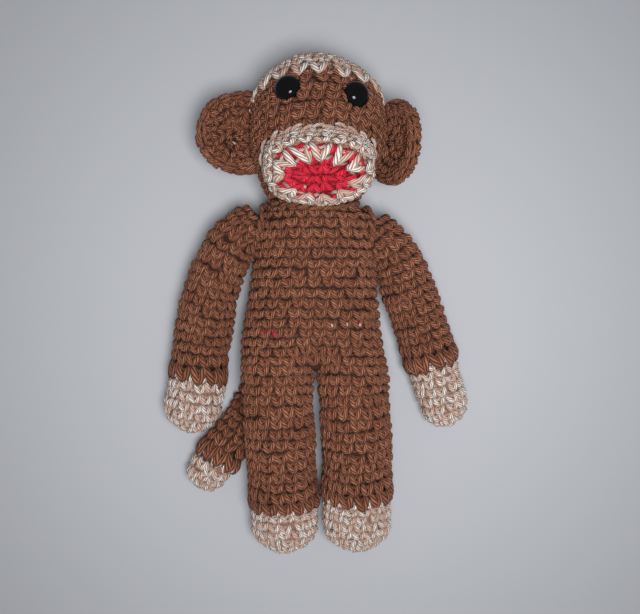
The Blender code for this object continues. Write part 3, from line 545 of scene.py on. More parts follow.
def leg_form(side):
    """A leg from its domed foot to the opening at the seat."""
    x, y, z = HIPS[side]
    rings = []
    top, end = SEAT_Y + LEG_TOP_OVERLAP, y + HIP_BAND_END
    for share in np.linspace(0, 1, LEG_TOP_RINGS):
        along = top + (end - top) * share
        past = np.clip((SEAT_Y - along) / (SEAT_Y - end), 0, 1)
        middle, wide = leg_top(side, past)
        depth = HIP_BAND_DEPTH + (HIP_BAND_WIDTH - HIP_BAND_DEPTH) * past
        rings.append(ring(np.array((middle, along, z)), TOWARDS_FEET, wide, depth))
    rings += limb_rings(HIPS[side], LEG_LENGTH, LEG_HALF_WIDTH, LEG_SHARES[side], FOOT_DOME,
                        ball=False)
    return Form(rings[::-1])


# Crochet: one single-crochet stitch, laid out in rounds over a form

def stitch_tube(path, radii, sides, height_squash=YARN_SQUASH):
    """Return a closed tube along a path as points, faces and yarn coordinates per corner."""
    path = np.array(path, float)
    points = []
    lengths = distances(path)
    for place, way, radius in zip(path, np.gradient(path, axis=0), radii):
        way = unit(way)
        side_way = unit(np.cross(way, UP) if abs(way[2]) < 0.95 else np.cross(way, -TOWARDS_FEET))
        above = np.cross(side_way, way)
        for side in range(sides):
            angle = math.tau * side / sides
            points.append(place + side_way * radius * math.cos(angle)
                          + above * radius * height_squash * math.sin(angle))
    rows = len(path)
    faces = quads_between(rows, sides)
    yarn = [((side / sides, start), ((side + 1) / sides, start),
             ((side + 1) / sides, stop), (side / sides, stop))
            for start, stop in zip(lengths, lengths[1:]) for side in range(sides)]
    for row, way in ((0, -1), (rows - 1, 1)):
        order = range(sides)[::way]
        faces.append(tuple(row * sides + side for side in order))
        yarn.append(tuple((side / sides, lengths[row]) for side in order))
    points = np.array(points)
    volume = 0.0
    for face in faces:
        for step in range(1, len(face) - 1):
            p, q, r = points[face[0]], points[face[step]], points[face[step + 1]]
            volume += np.dot(p, np.cross(q, r))
    if volume < 0:
        faces = [face[::-1] for face in faces]
        yarn = [corner[::-1] for corner in yarn]
    return points, faces, yarn


# Stitch paths: across in stitch widths, up in rounds, and height above the fabric in metres
V_PATH = (
    (-0.40, 1.10, -0.0022),
    (-0.41, 0.86, -0.0011),
    (-0.36, 0.62, 0.0003),
    (-0.27, 0.36, 0.0011),
    (-0.15, 0.12, 0.0009),
    (0.00, -0.06, 0.0000),
    (0.15, 0.12, 0.0008),
    (0.26, 0.37, 0.0010),
    (0.34, 0.64, 0.0002),
    (0.40, 1.08, -0.0023),
)
V_RADII = (0.75, 0.95, 1.18, 1.28, 1.16, 0.94, 1.10, 1.24, 1.12, 0.75)
LOOP_PATH = ((-0.36, 0.62, -0.0008), (-0.02, 0.58, -0.0001), (0.34, 0.74, -0.0008))
BASE_PATH = ((0.16, 0.18, -0.0010), (0.50, 0.03, -0.0005), (0.84, 0.20, -0.0010))
LOOP_RADII = (0.85, 1.0, 0.85)
BRAID_OUTER = (
    (-0.66, 0.10, -0.0010),
    (-0.42, 0.30, 0.0001),
    (-0.10, 0.36, 0.0007),
    (0.26, 0.24, 0.0009),
    (0.58, 0.05, -0.0002),
)
BRAID_INNER = tuple((u, -v, w) for u, v, w in BRAID_OUTER)
BRAID_RADII = (0.75, 0.98, 1.06, 1.04, 0.80)

# How unevenly the stitches are worked: places and leans in stitches or rounds, size as a share,
# height in metres
ROUND_DRIFT = 0.12
WANDER_SPREAD = 0.035
SHIFT_SPREAD = 0.06
LEAN_MEAN = 0.02
LEAN_SPREAD = 0.10
SWELL_SPREAD = 0.07
HEIGHT_SPREAD = 0.00015
LEAST_STITCHES = 6
LEAST_CROWDING = 0.45
GIRTH_PLACE = 0.45

# Painted shade on a stitch: its colour is darkest at this height in its template, where the
# yarn sinks between stitches, and comes up to full over the rise
SHADE_FLOOR = -0.0010
SHADE_RISE = 0.0027

# A tooth is a stitch that reaches down over another yarn. It is narrower at its foot, and
# raised from its foot to its top: much in the mouth, where it reaches further, and level with
# the next round where a limb or the cap changes yarn.
TOOTH_LIFT = 0.0018
TOOTH_FULLNESS = 0.32
TOOTH_NARROWING = 0.28
NARROWING_REACH = 1.2
SINK_TOP = 0.95
SINK_SPAN = 1.1
LONG_REACH = 1.5
TOOTH_PROFILE = ((-0.10, 0.30, 0.62, 0.86, 1.10), (0.90, 0.70, 0.90, 1.10, 0.40))
CHANGE_PROFILE = ((-0.10, 0.30, 0.62, 0.86, 1.10), (0.90, 0.70, 0.85, 1.05, 1.25))

# Yarn coordinates count millimetres along the yarn, and a stitch's tint shifts its twist
YARN_UNITS = 1000
TINT_SHIFT = 37.0
LINING_TINT = 0.5
LINING_STEP = 2
LEAST_SHRINK = 0.02
POLE_DEPTHS = 2.2
TABLE_SOFTNESS = 0.0010


def flat(rows):
    return np.concatenate([np.array(row) for row in rows])


def stitch_shape(*parts):
    """Join yarn paths, given with their radii and sides, to one stitch.

    Returns its points, faces, yarn coordinates and the middle of the yarn beside each point."""
    points, faces, yarn, middles = [], [], [], []
    for path, radii, sides in parts:
        path = np.array(path) * (STITCH_WIDTH, ROUND_HEIGHT, 1)
        part = stitch_tube(path, np.array(radii) * YARN_RADIUS, sides)
        base = sum(len(known) for known in points)
        points.append(part[0])
        faces += [tuple(base + index for index in face) for face in part[1]]
        yarn += part[2]
        middles.append(np.repeat(path, sides, axis=0))
    return np.concatenate(points), faces, yarn, np.concatenate(middles)


STITCH = stitch_shape((V_PATH, V_RADII, STITCH_SIDES), (LOOP_PATH, LOOP_RADII, LOOP_SIDES),
                      (BASE_PATH, LOOP_RADII, LOOP_SIDES))
BRAID = stitch_shape((BRAID_OUTER, BRAID_RADII, STITCH_SIDES),
                     (BRAID_INNER, BRAID_RADII, STITCH_SIDES))


def rounds_over(form, start, stop, first_phase=0.0, height=ROUND_HEIGHT, width=STITCH_WIDTH,
                first_width=None, reach=(0.0, 0.0), painted_dimming=0.0):
    """List the rounds from start to stop as (along, height, stitches, phase, reach, dimming).

    Reach is how many rounds further down the first round's stitches go, over another yarn,
    at the round's lowest and at its highest y, and dimming how much painted shade darkens that
    yarn."""
    count = max(1, round((stop - start) / height))
    height = (stop - start) / count
    rounds, phase = [], first_phase
    for index in range(count):
        along = start + index * height
        size = first_width if first_width and index == 0 else width
        stitches = max(LEAST_STITCHES, round(form.girth(along + height * GIRTH_PLACE) / size))
        rounds.append((along, height, stitches, phase,
                       (0.0, 0.0) if index else reach, 0.0 if index else painted_dimming))
        phase += ROUND_DRIFT / stitches
    return rounds


def press_on_table(points):
    """Flatten what would lie below the table onto it."""
    low = points[..., 2] < TABLE_SOFTNESS
    points[..., 2][low] = TABLE_SOFTNESS * np.exp((points[..., 2][low] - TABLE_SOFTNESS)
                                                  / TABLE_SOFTNESS)
    return points


def lay_stitches(form, shape, rounds, rng, depth):
    """Lay one shape of stitch round a form as (points, random tint, painted shade) for each
    stitch.
    """
    template, middles = shape[0], shape[3]
    u, v, w = middles[:, 0] / STITCH_WIDTH, middles[:, 1] / ROUND_HEIGHT, template[:, 2]
    aside, ahead = (template - middles)[:, 0], (template - middles)[:, 1]
    sink = np.clip((SINK_TOP - v) / SINK_SPAN, 0, 1)[None, :]
    blocks, tints, shades = [], [], []
    for along, height, stitches, phase, (low_reach, high_reach), painted_dimming in rounds:
        number = np.arange(stitches)
        wander = sum(rng.normal(0, WANDER_SPREAD)
                     * np.sin(math.tau * (times * number / stitches + rng.rand()))
                     for times in (1, 2, 3))
        shift = rng.normal(0, SHIFT_SPREAD, (stitches, 2))
        lean = rng.normal(LEAN_MEAN, LEAN_SPREAD, (stitches, 1))
        swell = 1 + rng.normal(0, SWELL_SPREAD, (stitches, 1))
        roots = form.at(np.full(stitches, along), phase + number / stitches, np.zeros(stitches))
        rise = roots[:, 1] - roots[:, 1].mean()
        rise = 0.5 + 0.5 * rise / max(np.abs(rise).max(), TINY)
        reach = (low_reach + (high_reach - low_reach) * rise)[:, None]
        across = u[None, :] * (1 - TOOTH_NARROWING * np.minimum(reach, NARROWING_REACH) * sink)
        order = (number + shift[:, 0])[:, None]
        up = v[None, :] - reach * sink
        place = along + height * (up * (2 - swell) + (shift[:, 1] + wander)[:, None])
        girth = np.interp(place, form.along, form.girths)
        girth = np.maximum(girth, stitches * STITCH_WIDTH * LEAST_CROWDING)
        turn = phase + (order + across * swell + lean * (v[None, :] - 0.5)) / stitches
        turn = turn + aside[None, :] * swell * (1 + TOOTH_FULLNESS * np.minimum(reach, 1)) / girth
        place = place + ahead[None, :] * (2 - swell)
        lift = w[None, :] * swell - depth + rng.normal(0, HEIGHT_SPREAD, (stitches, 1))
        profile = TOOTH_PROFILE if high_reach > LONG_REACH else CHANGE_PROFILE
        lift = lift + np.minimum(reach, 1) * TOOTH_LIFT * np.interp(v, *profile)
        blocks.append(form.at(np.clip(place, 0, form.length), turn, lift))
        tints.append(np.repeat(rng.rand(stitches), len(template)))
        # Painted shade: yarn lying low in the stitch is coloured darker, and a dimmed round darker
        # still
        shade = np.clip((w - SHADE_FLOOR) / SHADE_RISE, 0, 1) * (1 - painted_dimming)
        shades.append(np.tile(shade, stitches))
    return np.concatenate(blocks), np.concatenate(tints), np.concatenate(shades)


def lining_of(form, start, stop, depth):
    """Return the closed inner skin of a form between two distances along it."""
    inside = (form.along >= start) & (form.along <= stop)
    rows = np.flatnonzero(inside)[::LINING_STEP]
    rings = form.grid[rows] - form.normals[rows] * depth
    middles = rings.mean(axis=1, keepdims=True)
    girths = form.girths[rows] / math.tau
    shrink = np.clip((girths - depth) / np.maximum(girths, TINY), LEAST_SHRINK, 1)
    straight = middles + (form.grid[rows] - form.grid[rows].mean(axis=1, keepdims=True)) * \
        shrink[:, None, None]
    near_pole = (girths < POLE_DEPTHS * depth)[:, None, None]
    rings = np.where(near_pole, straight, rings)[:, ::LINING_STEP]
    sides = rings.shape[1]
    faces = quads_between(len(rings), sides)
    poles = []
    for row in (0, len(rings) - 1):
        pole = len(rings) * sides + len(poles)
        poles.append(rings[row].mean(axis=0))
        for side in range(sides):
            after = (side + 1) % sides
            pair = (row * sides + side, row * sides + after)
            faces.append((pole, *(pair if row else pair[::-1])))
    return np.concatenate((rings.reshape(-1, 3), poles)), faces


def as_mesh(name, points, loops, face_sizes, yarn, tint, shade):
    mesh = bpy.data.meshes.new(name)
    mesh.vertices.add(len(points))
    mesh.vertices.foreach_set("co", points.astype(np.float32).ravel())
    mesh.loops.add(len(loops))
    mesh.loops.foreach_set("vertex_index", loops.astype(np.int32))
    mesh.polygons.add(len(face_sizes))
    starts = np.concatenate(([0], np.cumsum(face_sizes)[:-1]))
    mesh.polygons.foreach_set("loop_start", starts.astype(np.int32))
    mesh.polygons.foreach_set("loop_total", np.array(face_sizes, np.int32))
    mesh.update(calc_edges=True)
    mesh.uv_layers.new(name="yarn").data.foreach_set("uv", yarn.astype(np.float32).ravel())
    for label, values in (("stitch_tint", tint), ("painted_stitch_shade", shade)):
        mesh.attributes.new(label, "FLOAT", "POINT").data.foreach_set(
            "value", values.astype(np.float32))
    mesh.shade_smooth()
    mesh.validate()
    item = bpy.data.objects.new(name, mesh)
    bpy.context.scene.collection.objects.link(item)
    return item


def join_parts(name, parts):
    """Make one object of parts given as points, corners, face sizes, yarn, tints and shades."""
    columns = list(zip(*parts))
    starts = np.cumsum([0] + [len(points) for points in columns[0]])
    columns[1] = [corners + start for corners, start in zip(columns[1], starts)]
    points, *rest = (np.concatenate(column) for column in columns)
    return as_mesh(name, press_on_table(points), *rest)


def strand(path, radii, tint, shade, shift=TINT_SHIFT, height_squash=YARN_SQUASH):
    """Return one loose strand of yarn as a part."""
    points, faces, wound = stitch_tube(path, radii, STITCH_SIDES, height_squash)
    wound = flat(wound) * (1, YARN_UNITS)
    wound[:, 1] += tint * shift
    return (points, flat(faces), [len(face) for face in faces], wound,
            np.full(len(points), tint), np.full(len(points), shade))


def crochet(name, form, rounds, lining, seed, edges=(), depth=SURFACE_DEPTH,
            lining_depth=LINING_DEPTH):
    """Make one piece: stitches and braided edges over the lining between two distances."""
    rng = np.random.RandomState(seed)
    parts = []
    for shape, courses in ((STITCH, rounds), (BRAID, edges)):
        if not courses:
            continue
        block, tint, shade = lay_stitches(form, shape, courses, rng, depth)
        count, size = len(block), len(shape[0])
        corners = flat(shape[1])
        wound = np.tile(flat(shape[2]), (count, 1))
        wound[:, 1] = (wound[:, 1] * YARN_UNITS
                       + np.repeat(tint[::size] * TINT_SHIFT, len(corners)))
        parts.append((block.reshape(-1, 3),
                      (corners[None, :] + (np.arange(count) * size)[:, None]).ravel(),
                      np.tile([len(face) for face in shape[1]], count), wound, tint, shade))
    # The lining is coloured all in the gap colour, as painted shade where it shows between
    # stitches
    points, faces = lining_of(form, *lining, lining_depth)
    corners = flat(faces)
    parts.append((points, corners, [len(face) for face in faces], np.zeros((len(corners), 2)),
                  np.full(len(points), LINING_TINT), np.zeros(len(points))))
    return join_parts(name, parts)


# Materials

PLIES = 6.0
TURNS_PER_MM = 0.46
FIBRE_STRETCH = (1.3, 0.45)
FIBRE_SHARE = 0.65
TINT_SHARE = 0.35
FIBRE_RANGE = (0.36, 0.66)
PALE_WANDER = 0.35
PALE_RANGE = (0.41, 0.47)
# Ranges over which a ply's ridge and a stitch's height bring in painted shade
RIDGE_RANGE = (0.25, 0.85)
SHADE_RANGE = (0.05, 0.85)
PLY_HEIGHT = 0.0004
POLISH_SCALE = 900
POLISH_UNEVENNESS = 1.6


def group_socket(group, name, way, value=None):
    socket = group.interface.new_socket(name=name, in_out=way, socket_type="NodeSocketFloat")
    if value is not None:
        socket.default_value = value


def feed(tree, socket, value):
    """Set a socket to a number or colour, or link it to an output."""
    if isinstance(value, (int, float)):
        socket.default_value = value
    elif isinstance(value, tuple):
        socket.default_value = (*value, 1)
    elif value is not None:
        tree.links.new(value, socket)


def mix_colour(tree, factor, first, second):
    node = tree.nodes.new("ShaderNodeMix")
    node.data_type = "RGBA"
    for index, value in ((0, factor), (6, first), (7, second)):
        feed(tree, node.inputs[index], value)
    return node.outputs[2]


def math_in(tree, kind, first, second=None):
    node = tree.nodes.new("ShaderNodeMath")
    node.operation = kind
    feed(tree, node.inputs[0], first)
    feed(tree, node.inputs[1], second)
    return node.outputs[0]


def attribute(tree, name):
    node = tree.nodes.new("ShaderNodeAttribute")
    node.attribute_name = name
    return node.outputs["Fac"]


def ply_group():
    """Twisted plies round a yarn: their ridges, each one's place round it, and loose fibres."""
    group = bpy.data.node_groups.new("ply_twist", "ShaderNodeTree")
    group_socket(group, "Plies", "INPUT", PLIES)
    group_socket(group, "Turns per mm", "INPUT", TURNS_PER_MM)
    for name in ("Ridge", "Strand", "Fibre"):
        group_socket(group, name, "OUTPUT")
    given, out = group.nodes.new("NodeGroupInput"), group.nodes.new("NodeGroupOutput")
    uv = group.nodes.new("ShaderNodeUVMap")
    uv.uv_map = "yarn"
    split = group.nodes.new("ShaderNodeSeparateXYZ")
    group.links.new(uv.outputs["UV"], split.inputs[0])
    around = math_in(group, "MULTIPLY", split.outputs["X"], given.outputs["Plies"])
    along = math_in(group, "MULTIPLY", split.outputs["Y"], given.outputs["Turns per mm"])
    phase = math_in(group, "SUBTRACT", around, along)
    ridge = math_in(group, "SINE", math_in(group, "MULTIPLY",
                                           math_in(group, "FRACT", phase), math.pi))
    place = math_in(group, "FRACT", math_in(group, "DIVIDE", phase, given.outputs["Plies"]))
    combine = group.nodes.new("ShaderNodeCombineXYZ")
    for index, value in enumerate((phase, split.outputs["Y"])):
        group.links.new(math_in(group, "MULTIPLY", value, FIBRE_STRETCH[index]),
                        combine.inputs[index])
    noise = group.nodes.new("ShaderNodeTexNoise")
    noise.inputs["Scale"].default_value = 1.0
    noise.inputs["Detail"].default_value = 2.0
    group.links.new(combine.outputs[0], noise.inputs["Vector"])
    group.links.new(ridge, out.inputs["Ridge"])
    group.links.new(place, out.inputs["Strand"])
    group.links.new(noise.outputs["Fac"], out.inputs["Fibre"])
    return group


PLY_TWIST = ply_group()


def ramp_in(tree, value, low, high):
    """Bring a value from low..high to 0..1, and hold it there."""
    node = tree.nodes.new("ShaderNodeMapRange")
    node.inputs["From Min"].default_value = low
    node.inputs["From Max"].default_value = high
    tree.links.new(value, node.inputs["Value"])
    return node.outputs["Result"]


def new_material(name):
    """Return a material, its node tree and its shader."""
    material = bpy.data.materials.new(name)
    material.use_nodes = True
    return material, material.node_tree, material.node_tree.nodes["Principled BSDF"]


def yarn_material(name, painted_gap_shade, painted_groove_shade, body, painted_crest_highlight, pale=None):
    """Cotton yarn with painted shade in the gaps under stitches and the grooves between plies, and
    painted highlights on the ply crests.
    """
    material, tree, shader = new_material(name)
    twist = tree.nodes.new("ShaderNodeGroup")
    twist.node_tree = PLY_TWIST
    ridge, fibre = twist.outputs["Ridge"], twist.outputs["Fibre"]
    tint = attribute(tree, "stitch_tint")
    # Painted shade of each point, from how low its yarn lies in the stitch
    shade = attribute(tree, "painted_stitch_shade")
    # Random tint and loose fibres mix the body colour towards the crest colour: paler fibres and a
    # painted highlight on the ply tops
    light = math_in(tree, "ADD", math_in(tree, "MULTIPLY", tint, TINT_SHARE),
                    math_in(tree, "MULTIPLY", ramp_in(tree, fibre, *FIBRE_RANGE), FIBRE_SHARE))
    if pale:
        off_middle = math_in(tree, "ABSOLUTE",
                             math_in(tree, "SUBTRACT", twist.outputs["Strand"], 0.5))
        is_pale = ramp_in(tree, math_in(tree, "ADD", off_middle, math_in(
            tree, "MULTIPLY", fibre, PALE_WANDER)), *PALE_RANGE)
        body = mix_colour(tree, is_pale, body, pale[0])
        painted_crest_highlight = mix_colour(tree, is_pale, painted_crest_highlight, pale[1])
    top = mix_colour(tree, light, body, painted_crest_highlight)
    # Painted shade in the grooves between plies, against the lighter ply ridges
    colour = mix_colour(tree, ramp_in(tree, ridge, *RIDGE_RANGE), painted_groove_shade, top)
    # Painted shade: yarn lying low in the stitch darkens to the gap colour
    colour = mix_colour(tree, ramp_in(tree, shade, *SHADE_RANGE), painted_gap_shade, colour)
    tree.links.new(colour, shader.inputs["Base Color"])
    shader.inputs["Roughness"].default_value = 0.75
    shader.inputs["Specular IOR Level"].default_value = 0.25
    shader.inputs["Sheen Weight"].default_value = 0.05
    bump = tree.nodes.new("ShaderNodeBump")
    bump.inputs["Strength"].default_value = 1.0
    bump.inputs["Distance"].default_value = PLY_HEIGHT
    tree.links.new(ridge, bump.inputs["Height"])
    tree.links.new(bump.outputs["Normal"], shader.inputs["Normal"])
    return material


def plastic_material(name, colour, roughness, speck, gloss):
    """Moulded plastic with a faint unevenness in its polish."""
    material, tree, shader = new_material(name)
    place = tree.nodes.new("ShaderNodeTexCoord")
    noise = tree.nodes.new("ShaderNodeTexNoise")
    noise.inputs["Scale"].default_value = POLISH_SCALE
    tree.links.new(place.outputs["Object"], noise.inputs["Vector"])
    tree.links.new(mix_colour(tree, noise.outputs["Fac"], colour, speck),
                   shader.inputs["Base Color"])
    scale = tree.nodes.new("ShaderNodeMapRange")
    scale.inputs["To Min"].default_value = roughness
    scale.inputs["To Max"].default_value = roughness * POLISH_UNEVENNESS
    tree.links.new(noise.outputs["Fac"], scale.inputs["Value"])
    tree.links.new(scale.outputs["Result"], shader.inputs["Roughness"])
    shader.inputs["Specular IOR Level"].default_value = gloss
    return material


# Each finish is a material and a slot name, which the pieces don't use
# Yarn colours: gap and groove are painted shade, body is the yarn's own colour, and crest is paler
# fibre with a painted highlight; cream adds its pale plies
BROWN = (yarn_material("brown_cotton", (0.036, 0.010, 0.004), (0.045, 0.013, 0.006),
                       (0.236, 0.069, 0.031), (0.505, 0.203, 0.113)), "brown_yarn")
CREAM = (yarn_material("cream_marl_cotton", (0.300, 0.165, 0.120), (0.400, 0.240, 0.180),
                       (0.700, 0.450, 0.355), (0.830, 0.630, 0.530),
                       ((0.900, 0.830, 0.760), (0.960, 0.930, 0.890))), "cream_yarn")
RED = (yarn_material("red_cotton", (0.260, 0.001, 0.008), (0.480, 0.003, 0.018),
                     (0.800, 0.008, 0.036), (0.950, 0.045, 0.110)), "red_yarn")
EYE_BLACK = (plastic_material("eye_black_plastic", (0.003, 0.003, 0.003), 0.05,
                              (0.005, 0.005, 0.006), 0.18), "eye_plastic")
WASHER_WHITE = plastic_material("washer_white_plastic", (0.72, 0.71, 0.67), 0.4,
                                (0.78, 0.77, 0.73), 0.5)


# The pieces

SEEDS = {"torso": 11, "head": 21, "head_cap": 22, "mouth": 31, "muzzle": 32,
         "right_ear": 40, "left_ear": 42, "right_hand": 51, "right_arm": 52,
         "left_hand": 58, "left_arm": 59, "right_foot": 61, "right_leg": 62,
         "left_foot": 66, "left_leg": 67, "tail_tip": 71, "tail": 72,
         "neck_sewing": 81, "muzzle_sewing": 82, "right_shoulder_sewing": 83,
         "left_shoulder_sewing": 84, "waist_red_ends": 91, "waist_cream_ends": 92,
         "ear_cream_end": 93, "mouth_cream_end": 94}

# How full the stuffing makes each soft piece
FILLS = {"torso": 0.8, "head": 0.9, "muzzle": 0.8, "ear": 0.4, "arm": 0.8, "leg": 0.85,
         "tail": 0.7}

# Lengths at the ends of the forms that stay bare, because a seam or another piece hides them
TIP_BARE = 0.0005
TORSO_TOP_BARE = 0.005
ARM_TOP_BARE = 0.008
TAIL_TOP_BARE = 0.006

# Rounds of the head and its cap
HEAD_ROUND_HEIGHT = 0.0040
HEAD_STITCH_WIDTH = 0.0075
CAP_TOOTH_WIDTH = 0.0102
CAP_REACH = (0.75, 0.75)

# Rounds of the mouth, the teeth over it, and the muzzle with its braided edge
MOUTH_START = 0.0002
MOUTH_ROUND_HEIGHT = 0.0066
TEETH_HEIGHT = 0.0026
TEETH_LAP = 0.8
TOOTH_WIDTH = 0.0110
TOOTH_REACH = (2.30, 3.55)
LIP_STITCH_WIDTH = 0.0080
LIP_REACH = (0.12, 0.12)
MUZZLE_EDGE_SHARE = 0.9
MUZZLE_EDGE_RISE = 0.001
MUZZLE_EDGE_LAP = 0.006
MUZZLE_BRAID_WIDTH = 0.0074

# Rounds of an ear's front and back, and the braids between them as (distance, phase)
EAR_START = 0.0008
EAR_FRONT_SHARE = 0.80
EAR_RIM_LENGTH = 0.008
EAR_END_BARE = 0.002
EAR_BACK_PHASE = 0.3
EAR_BRAIDS = ((0.0015, 0.0), (0.0060, 0.4))
EAR_BRAID_WIDTH = 0.0072
EAR_SURFACE_DEPTH = 0.0015
EAR_LINING_DEPTH = 0.0017

# The change from cream to brown: how far the first brown round reaches over the tip, how wide
# its stitches are and how much painted shade darkens them, and how far the next round covers it
HAND_REACH = 1.35
FOOT_REACH = 0.90
TAIL_REACH = 1.15
CHANGE_WIDTH = 0.0074
CHANGE_PAINTED_DIMMING = 0.22
COVER_REACH = 0.38


def finish_piece(piece, finish, body, nodes=()):
    material, slot = finish
    piece.data.materials.append(material)
    if body:
        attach(piece, body)
    if nodes:
        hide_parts(*nodes)
    return piece


def soft_piece(part, finish, body, nodes, fill, form, rounds, lining, **more):
    piece = crochet(f"{part}_crochet", form, rounds, lining, SEEDS[part], **more)
    return finish_piece(piece, finish, body, nodes)


def make_torso():
    form = torso_form()
    start = form.nearest_along((TORSO_X, SEAT_Y, TORSO_Z))
    rounds = rounds_over(form, start - SEAT_OVERLAP, form.length - TORSO_TOP_BARE)
    soft_piece("torso", BROWN, "torso", ("torso", "torso_stuffing"), FILLS["torso"], form, rounds,
               (0, form.length))


def make_head():
    form = head_form()
    middles = form.grid.mean(axis=1)
    change = float(np.interp(CAP_START, (middles - HEAD) @ unit(tilted(CAP_TILT)), form.along))
    lower = rounds_over(form, TIP_BARE, change, height=HEAD_ROUND_HEIGHT, width=HEAD_STITCH_WIDTH)
    upper = rounds_over(form, change, form.length - TIP_BARE, lower[-1][3],
                        first_width=CAP_TOOTH_WIDTH, reach=CAP_REACH)
    soft_piece("head", BROWN, "head", ("head", "head_stuffing"), FILLS["head"], form, lower,
               (0, change))
    soft_piece("head_cap", CREAM, "head", ("head_cap",), FILLS["head"], form, upper,
               (change, form.length))


def make_muzzle():
    form = muzzle_form()
    red = rounds_over(form, MOUTH_START, MOUTH_END + TEETH_HEIGHT * TEETH_LAP,
                      height=MOUTH_ROUND_HEIGHT)
    edge = form.length - MUZZLE_ROOT_DEPTH * MUZZLE_EDGE_SHARE + MUZZLE_EDGE_RISE
    cream = rounds_over(form, MOUTH_END, MOUTH_END + TEETH_HEIGHT, red[-1][3],
                        height=TEETH_HEIGHT, width=TOOTH_WIDTH, reach=TOOTH_REACH)
    cream += rounds_over(form, MOUTH_END + TEETH_HEIGHT, edge + MUZZLE_EDGE_LAP, cream[-1][3],
                         width=LIP_STITCH_WIDTH, reach=LIP_REACH)
    soft_piece("mouth", RED, "head", ("mouth",), FILLS["muzzle"], form, red, (0, MOUTH_END))
    braid = rounds_over(form, edge, edge + ROUND_HEIGHT, width=MUZZLE_BRAID_WIDTH)
    soft_piece("muzzle", CREAM, "head", ("muzzle", "muzzle_stuffing"), FILLS["muzzle"], form,
               cream, (MOUTH_END, form.length), edges=braid)


def make_ears():
    for side, (way, drop, turn) in EARS.items():
        form = ear_form(way, drop, turn)
        front = EAR_HALF_SIZE * EAR_FRONT_SHARE
        rounds = rounds_over(form, EAR_START, front)
        rounds += rounds_over(form, front + EAR_RIM_LENGTH, form.length - EAR_END_BARE,
                              EAR_BACK_PHASE)
        braids = []
        for place, phase in EAR_BRAIDS:
            braids += rounds_over(form, front + place, front + place + ROUND_HEIGHT, phase,
                                  width=EAR_BRAID_WIDTH)
        ear = f"{side}_ear"
        soft_piece(ear, BROWN, ear, (ear,), FILLS["ear"], form, rounds, (0, form.length),
                   edges=braids, depth=EAR_SURFACE_DEPTH, lining_depth=EAR_LINING_DEPTH)


def dress_limb(limb, tip, form, change, stop, reach, nodes, fill, blends=False):
    """Crochet a limb's cream tip, then its brown rounds, which reach over the tip's last.

    A limb that is to blend into another body isn't made to ride on one body here."""
    lower = rounds_over(form, TIP_BARE, change)
    upper = rounds_over(form, change, stop, lower[-1][3], first_width=CHANGE_WIDTH,
                        reach=(reach, reach), painted_dimming=CHANGE_PAINTED_DIMMING)
    # The next round takes half that painted shade, and a shorter reach
    upper[1] = upper[1][:4] + ((COVER_REACH, COVER_REACH), CHANGE_PAINTED_DIMMING / 2)
    soft_piece(tip, CREAM, limb, (tip,), fill, form, lower, (0, change))
    return soft_piece(limb, BROWN, None if blends else limb, nodes, fill, form, upper,
                      (change, form.length))


def make_arms():
    for side, root in SHOULDERS.items():
        shares = ARM_SHARES[side]
        form = Form(limb_rings(root, ARM_LENGTH, ARM_HALF_WIDTH, shares, HAND_DOME)[::-1])
        change = form.nearest_along(limb_place(root, ARM_LENGTH, shares, HAND_STARTS[side]))
        arm = f"{side}_arm"
        dress_limb(arm, f"{side}_hand", form, change, form.length - ARM_TOP_BARE, HAND_REACH,
                   (arm, f"{arm}_stuffing"), FILLS["arm"])


def make_legs():
    for side, root in HIPS.items():
        form = leg_form(side)
        change = form.nearest_along(limb_place(root, LEG_LENGTH, LEG_SHARES[side],
                                               FOOT_STARTS[side]))
        leg = f"{side}_leg"
        piece = dress_limb(leg, f"{side}_foot", form, change, form.length - LEG_TOP_OVERLAP,
                           FOOT_REACH, (leg, f"{side}_hip", f"{leg}_stuffing"), FILLS["leg"], True)
        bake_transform(piece)


def make_tail():
    route = TAIL_ROOT, TAIL_LENGTH, TAIL_SHARES
    form = Form(limb_rings(TAIL_ROOT, TAIL_LENGTH, TAIL_HALF_WIDTH, TAIL_SHARES,
                           TAIL_TIP_DOME)[::-1])
    change = form.nearest_along(limb_place(*route, TAIL_TIP_START))
    piece = dress_limb("tail", "tail_tip", form, change, form.length - TAIL_TOP_BARE, TAIL_REACH,
                       ("tail", "tail_stuffing", "tail_root", "tail_root_stuffing"),
                       FILLS["tail"], True)
    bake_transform(piece)


# Eyes: the outline from the rim at the back, as (distance from the axis, height). A turn to the
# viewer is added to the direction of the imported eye, and a shift in metres to its place.
EYE_OUTLINE = ((0.0060, 0.0), (0.0065, 0.0004), (0.0066, 0.0010), (0.0064, 0.0018),
               (0.0058, 0.0029), (0.0048, 0.0038), (0.0036, 0.0045), (0.0022, 0.00495),
               (0.0009, 0.0051), (0.0002, 0.00513))
EYE_SIDES = 48
EYE_PROUD = 0.0010
EYE_END_POINTS = 20
EYE_FACING = np.array((0.0, -0.05, 0.70))
EYE_SHIFTS = {"right": (0.0011, -0.0017, -0.0006), "left": (-0.0016, -0.0008, -0.0006)}


